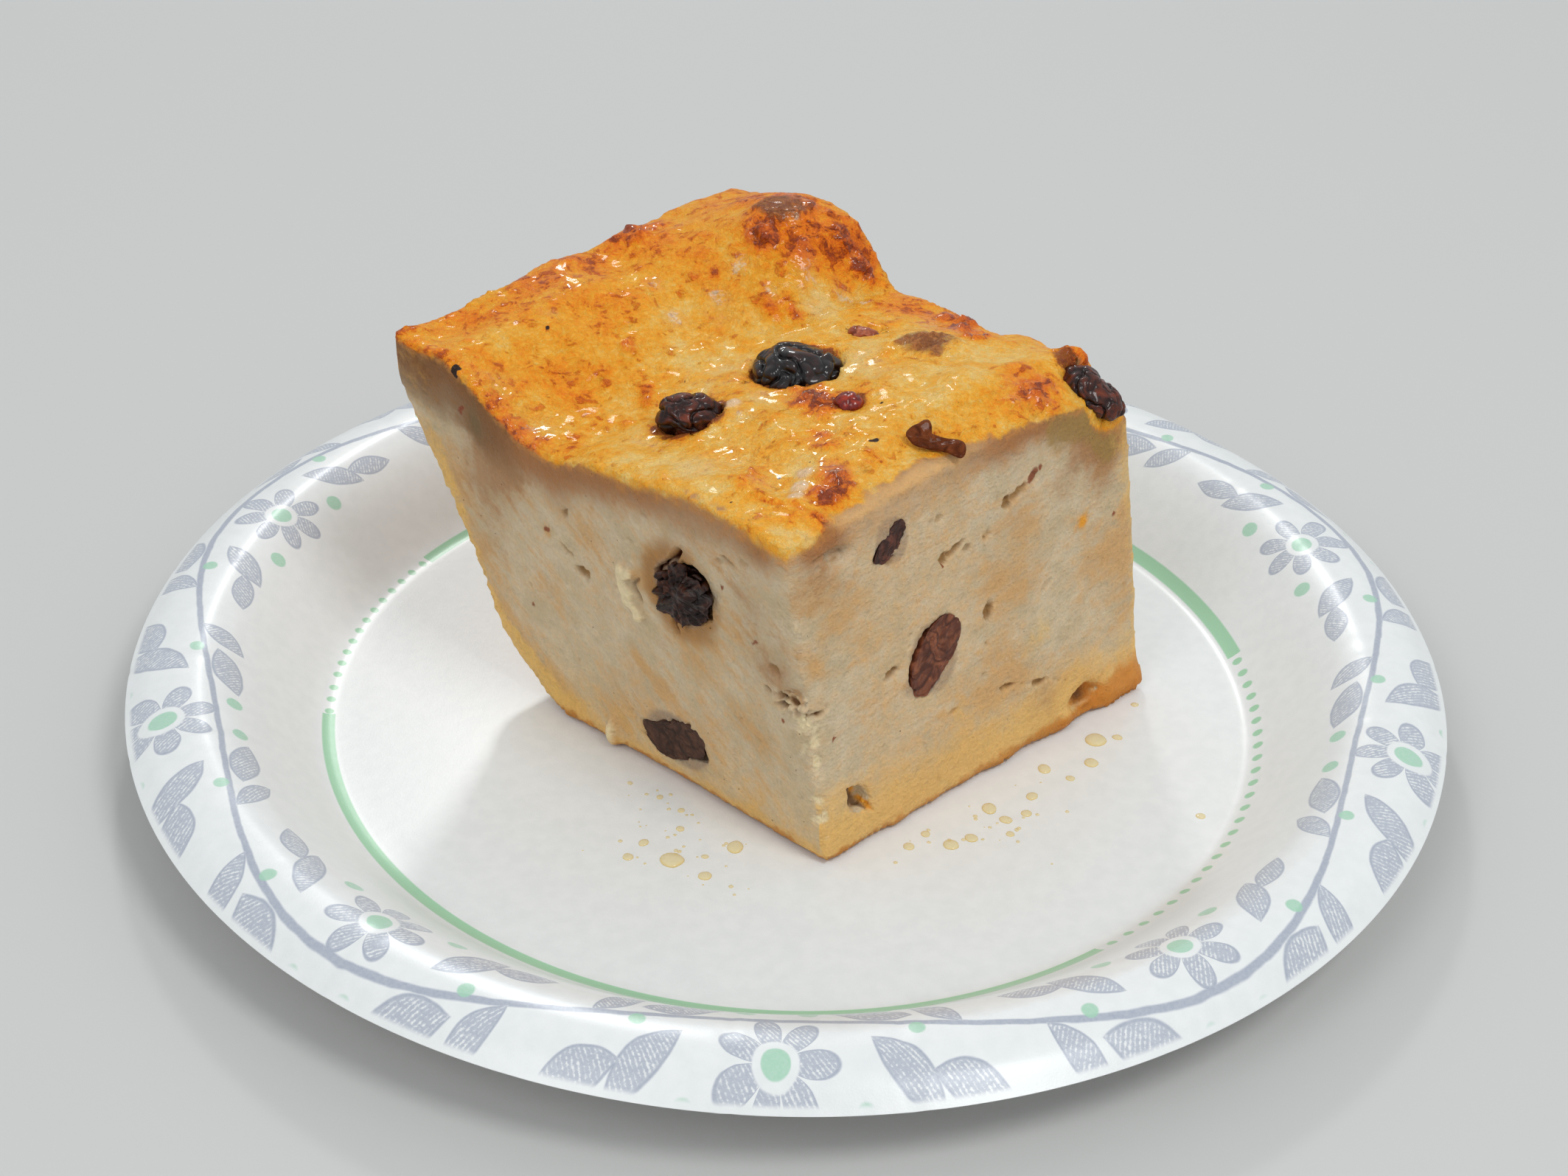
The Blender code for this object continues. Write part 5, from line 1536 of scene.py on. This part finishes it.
def plateFinish():
    shade = Shader("printed_paper_board")
    place = shade.place()
    x, y, z = shade.split(place)
    radius = (x * x + y * y) ** 0.5
    fine = shade.grain(place, 0.5, 3.0, 0.6)
    middle = shade.grain(place, 2.5, 2.0, 0.5)
    turn = shade.math("ARCTAN2", y, x)

    # Band coordinates: along and across one half wave, mirrored in every second one
    waves = border["waves"]
    steps = turn * (waves / (2 * pi)) + waves * 1.0
    cell = steps.shader.math("FLOOR", steps)
    share = steps - cell - 0.5
    mirror = 1.0 - (cell % 2.0) * 2.0
    arc = 2 * pi * border["middle"] / waves
    along = share * arc
    across = (radius + z * border["climb"] - border["middle"] - 5.4) * mirror
    wobble = shade.grain(place, 4.0, 1.0) * 0.25
    across = across + wobble

    def disc(cx, cy, size):
        away = ((along - cx) ** 2.0 + (across - cy) ** 2.0) ** 0.5
        return 1.0 - away.ramp(size - 0.18, size + 0.18), away

    def leaf(cx, cy, tilt, length, width):
        c, s = cos(radians(tilt)), sin(radians(tilt))
        dx, dy = along - cx, across - cy
        p = (dx * c + dy * s) / length
        q = (dy * c - dx * s) / width
        inside = 1.0 - p * p - abs(q)
        body = inside.ramp(0.0, 0.12)
        rim = body * (1.0 - inside.ramp(0.16, 0.34))
        vein = (1.0 - abs(q).ramp(0.05, 0.16)) * body
        return body, rim, vein

    stemLine = (along * (pi / arc)).cosine() * border["swing"]
    stem = 1.0 - abs(across - stemLine).ramp(border["stemHalf"] - 0.15, border["stemHalf"] + 0.2)
    solid, pattern = stem, 0.0
    for values in border["leaves"]:
        body, rim, vein = leaf(*values)
        solid = solid.most(rim)
        pattern = body if isinstance(pattern, float) else pattern.most(body)
        solid = solid * (1.0 - vein * 0.5)
    cx, cy, size = border["blossom"]
    petalAngle = shade.math("ARCTAN2", across - cy, along - cx)
    lobe = abs((petalAngle * (border["petals"] / 2)).cosine())
    away = ((along - cx) ** 2.0 + (across - cy) ** 2.0) ** 0.5
    reach = size * (lobe ** 0.55 * 0.82 + 0.18)
    petal = (reach - away).ramp(-0.1, 0.35) * away.ramp(2.9, 3.3)
    petalRim = petal * (1.0 - (reach - away).ramp(0.6, 1.0))
    pattern = pattern.most(petal)
    solid = solid.most(petalRim)
    mint = 1.0 - away.ramp(1.8, 2.1)
    for values in border["berries"]:
        mint = mint.most(disc(*values)[0])

    hatch = ((along + across * 0.8) * 8.5).sine() * 0.28 + fine * 0.9 + middle * 0.35
    ink = pattern * (hatch + 0.72).ramp(0.15, 0.75) * 0.82
    ink = ink.most(solid * 0.95)
    ink = ink * (fine * 0.25 + 0.95)
    band = radius.ramp(86.6, 87.6) * (1.0 - radius.ramp(106.6, 107.4))

    # Thin ring inside the wall, dotted where it is interrupted
    ringRadius, ringHalf, shift = border["ring"]
    ringX = x - shift
    fromRing = abs((ringX * ringX + y * y) ** 0.5 - ringRadius)
    ring = 1.0 - fromRing.ramp(ringHalf - 0.15, ringHalf + 0.15)
    angle = turn * (180 / pi)
    gap = 0.0
    for low, high in border["ringGaps"]:
        wrapped = (angle - low) % 360.0
        inGap = wrapped < (high - low)
        gap = inGap if isinstance(gap, float) else gap.most(inGap)
    dotAlong = (turn * (ringRadius / border["dotStep"])) % 1.0 - 0.5
    dotAway = ((dotAlong * border["dotStep"]) ** 2.0 + fromRing ** 2.0) ** 0.5
    dots = 1.0 - dotAway.ramp(0.62, 0.9)
    ring = ring * (1.0 - gap) + dots * gap

    printed = shade.attribute("face").ramp(0.4, 0.6)
    paper = shade.blend((middle + 0.5).ramp(0.0, 1.0), (0.83, 0.845, 0.84), (0.87, 0.88, 0.875))
    paper = shade.blend(printed, (0.80, 0.80, 0.785), paper)
    colour = shade.blend(ink * band * printed, paper, (0.40, 0.435, 0.52))
    colour = shade.blend(mint * band * printed * (fine * 0.2 + 0.85), colour, (0.38, 0.66, 0.48))
    colour = shade.blend(ring * printed * 0.95, colour, (0.36, 0.66, 0.42))
    # Painted shade: a faint grey line along each pleat's crease
    colour = shade.blend(shade.attribute("pleat") * 0.10, colour, (0.55, 0.56, 0.56))
    fibre = shade.grain(place, 0.3, 3.0, 0.6)
    normal = shade.bump(fibre * 0.4 + middle * 0.6, 0.00006, 0.6)
    return shade.finish({
        "Base Color": colour,
        "Roughness": fine * 0.04 + middle * 0.05 + 0.36 - printed * 0.02,
        "Coat Weight": printed * 0.35,
        "Coat Roughness": 0.22,
        "Specular IOR Level": 0.45,
    }, normal)


makePlate()


# Drops of syrup on the plate: x, y, radius in millimetres

drops = {
    "placed": (
        (-7.3, -40.7, 1.5), (-17.0, -44.3, 1.9), (-11.7, -47.8, 1.1), (-23.8, -43.8, 0.9),
        (-21.6, -40.3, 0.9), (-16.1, -36.6, 0.7), (-11.9, -43.2, 0.6), (-24.8, -25.4, 0.5),
        (-19.8, -28.8, 0.6), (-16.2, -32.0, 0.6), (51.7, -10.3, 1.8), (50.4, -16.5, 1.2),
        (42.5, -18.5, 1.2), (40.0, -25.8, 1.1), (32.9, -29.3, 1.4), (35.4, -32.0, 1.1),
        (38.8, -30.2, 0.9), (46.6, -20.8, 0.8), (26.4, -38.6, 1.3), (29.7, -36.8, 1.1),
        (22.5, -36.1, 0.8), (19.8, -39.3, 0.9), (35.9, -35.5, 0.7), (55.4, -9.3, 0.9),
        (59.3, 0.1, 0.7), (66.7, -29.6, 0.8),
    ),
    "scattered": 60,
    "clusters": ((-17.0, -38.0, 8.0, 7.0), (32.0, -33.0, 10.0, 5.0)),
    "flatness": 0.34,
    "seed": 21,
}


def dropFinish():
    shade = Shader("syrup_drop")
    place = shade.place()
    middle = shade.grain(place, 1.2, 2.0)
    rim = shade.attribute("rim")
    # Deeper orange toward each drop's rim: painted shade at the drop's edge
    colour = shade.blend((rim + middle * 0.3).ramp(0.3, 1.1), (0.97, 0.80, 0.40), (0.97, 0.70, 0.22))
    return shade.finish({
        "Base Color": colour, "Roughness": middle * 0.03 + 0.10, "Coat Weight": 0.5,
        "Coat Roughness": 0.05, "Alpha": (rim * 0.2 + 0.5).least(1.0), "IOR": 1.38,
    })


def makeDrops():
    rng = np.random.default_rng(drops["seed"])
    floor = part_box("plate")[0].z / mm + 0.7
    wanted = list(drops["placed"])
    while len(wanted) < len(drops["placed"]) + drops["scattered"]:
        cx, cy, spreadX, spreadY = drops["clusters"][rng.integers(2)]
        x, y = rng.normal(cx, spreadX), rng.normal(cy, spreadY)
        v, u, z = piece.local(np.array([[x, y, 1.0]]) * mm)[0]
        if min(v, u) > -3.0 or x * x + y * y > 74 ** 2:
            continue
        wanted.append((x, y, rng.uniform(0.14, 0.42)))
    shape = bmesh.new()
    rim = shape.verts.layers.float.new("rim")
    for x, y, size in wanted:
        turn = rng.uniform(0, pi)
        stretch = rng.uniform(0.78, 1.0)
        ball = bmesh.ops.create_uvsphere(shape, u_segments=20, v_segments=12, radius=1.0)
        for vertex in ball["verts"]:
            px, py, pz = vertex.co
            wide = 1 + 0.10 * noise.noise((px * 1.3 + x, py * 1.3 + y, 0.0))
            qx, qy = px * size * wide, py * size * wide * stretch
            vertex[rim] = min(1.0, (px * px + py * py) ** 2.2)
            height = max(pz, -0.02) * size * drops["flatness"]
            vertex.co = Vector((x + qx * cos(turn) - qy * sin(turn),
                                y + qx * sin(turn) + qy * cos(turn), floor + height)) * mm
    bmesh.ops.remove_doubles(shape, verts=shape.verts, dist=2e-6)
    mesh = bpy.data.meshes.new("syrup_drops")
    shape.to_mesh(mesh)
    shape.free()
    made = showMesh("syrup_drops", mesh, dropFinish())
    print("drops:", len(wanted))


makeDrops()


# Stage and light

stage = {
    "floorRadius": 6.0,
    "floorTone": (0.62, 0.615, 0.60),
    "skyTone": (0.93, 0.97, 1.0),
    "skyStrength": 0.60,
    # position, aim, size, power, colour
    "lamps": (
        ((0.50, -0.46, 1.10), (0, 0, 0.03), 0.40, 4.6, (0.98, 1.0, 1.0)),
        ((-0.12, 0.90, 0.80), (0, 0, 0.05), 0.14, 1.9, (0.98, 1.0, 1.0)),
        ((-0.50, -0.65, 0.90), (0, 0, 0.03), 0.50, 1.8, (0.99, 1.0, 1.0)),
    ),
}


def makeStage():
    shape = bmesh.new()
    bmesh.ops.create_circle(shape, cap_ends=True, segments=96, radius=stage["floorRadius"])
    mesh = bpy.data.meshes.new("floor")
    shape.to_mesh(mesh)
    shape.free()
    floor = bpy.data.objects.new("floor", mesh)
    bpy.context.scene.collection.objects.link(floor)
    floor.location.z = cadBox[0].z - 0.0002
    shade = Shader("pale_floor")
    tone = shade.grain(shade.place(), 400.0, 1.0) * 0.01 + 1.0
    mesh.materials.append(shade.finish({
        "Base Color": shade.vector("SCALE", stage["floorTone"], tone), "Roughness": 0.75}))

    for index, (position, aim, size, power, tint) in enumerate(stage["lamps"]):
        lamp = bpy.data.lights.new("lamp_%d" % index, "AREA")
        lamp.shape = "DISK"
        lamp.size, lamp.energy, lamp.color = size, power, tint
        made = bpy.data.objects.new(lamp.name, lamp)
        bpy.context.scene.collection.objects.link(made)
        made.location = position
        toward = Vector(aim) - Vector(position)
        made.rotation_euler = toward.to_track_quat("-Z", "Y").to_euler()

    world = bpy.data.worlds.new("soft_light")
    world.use_nodes = True
    background = world.node_tree.nodes["Background"]
    background.inputs["Color"].default_value = (*stage["skyTone"], 1.0)
    background.inputs["Strength"].default_value = stage["skyStrength"]
    scene = bpy.context.scene
    scene.world = world
    scene.view_settings.view_transform = "Standard"
    scene.view_settings.look = "None"


makeStage()
print("stage: made")
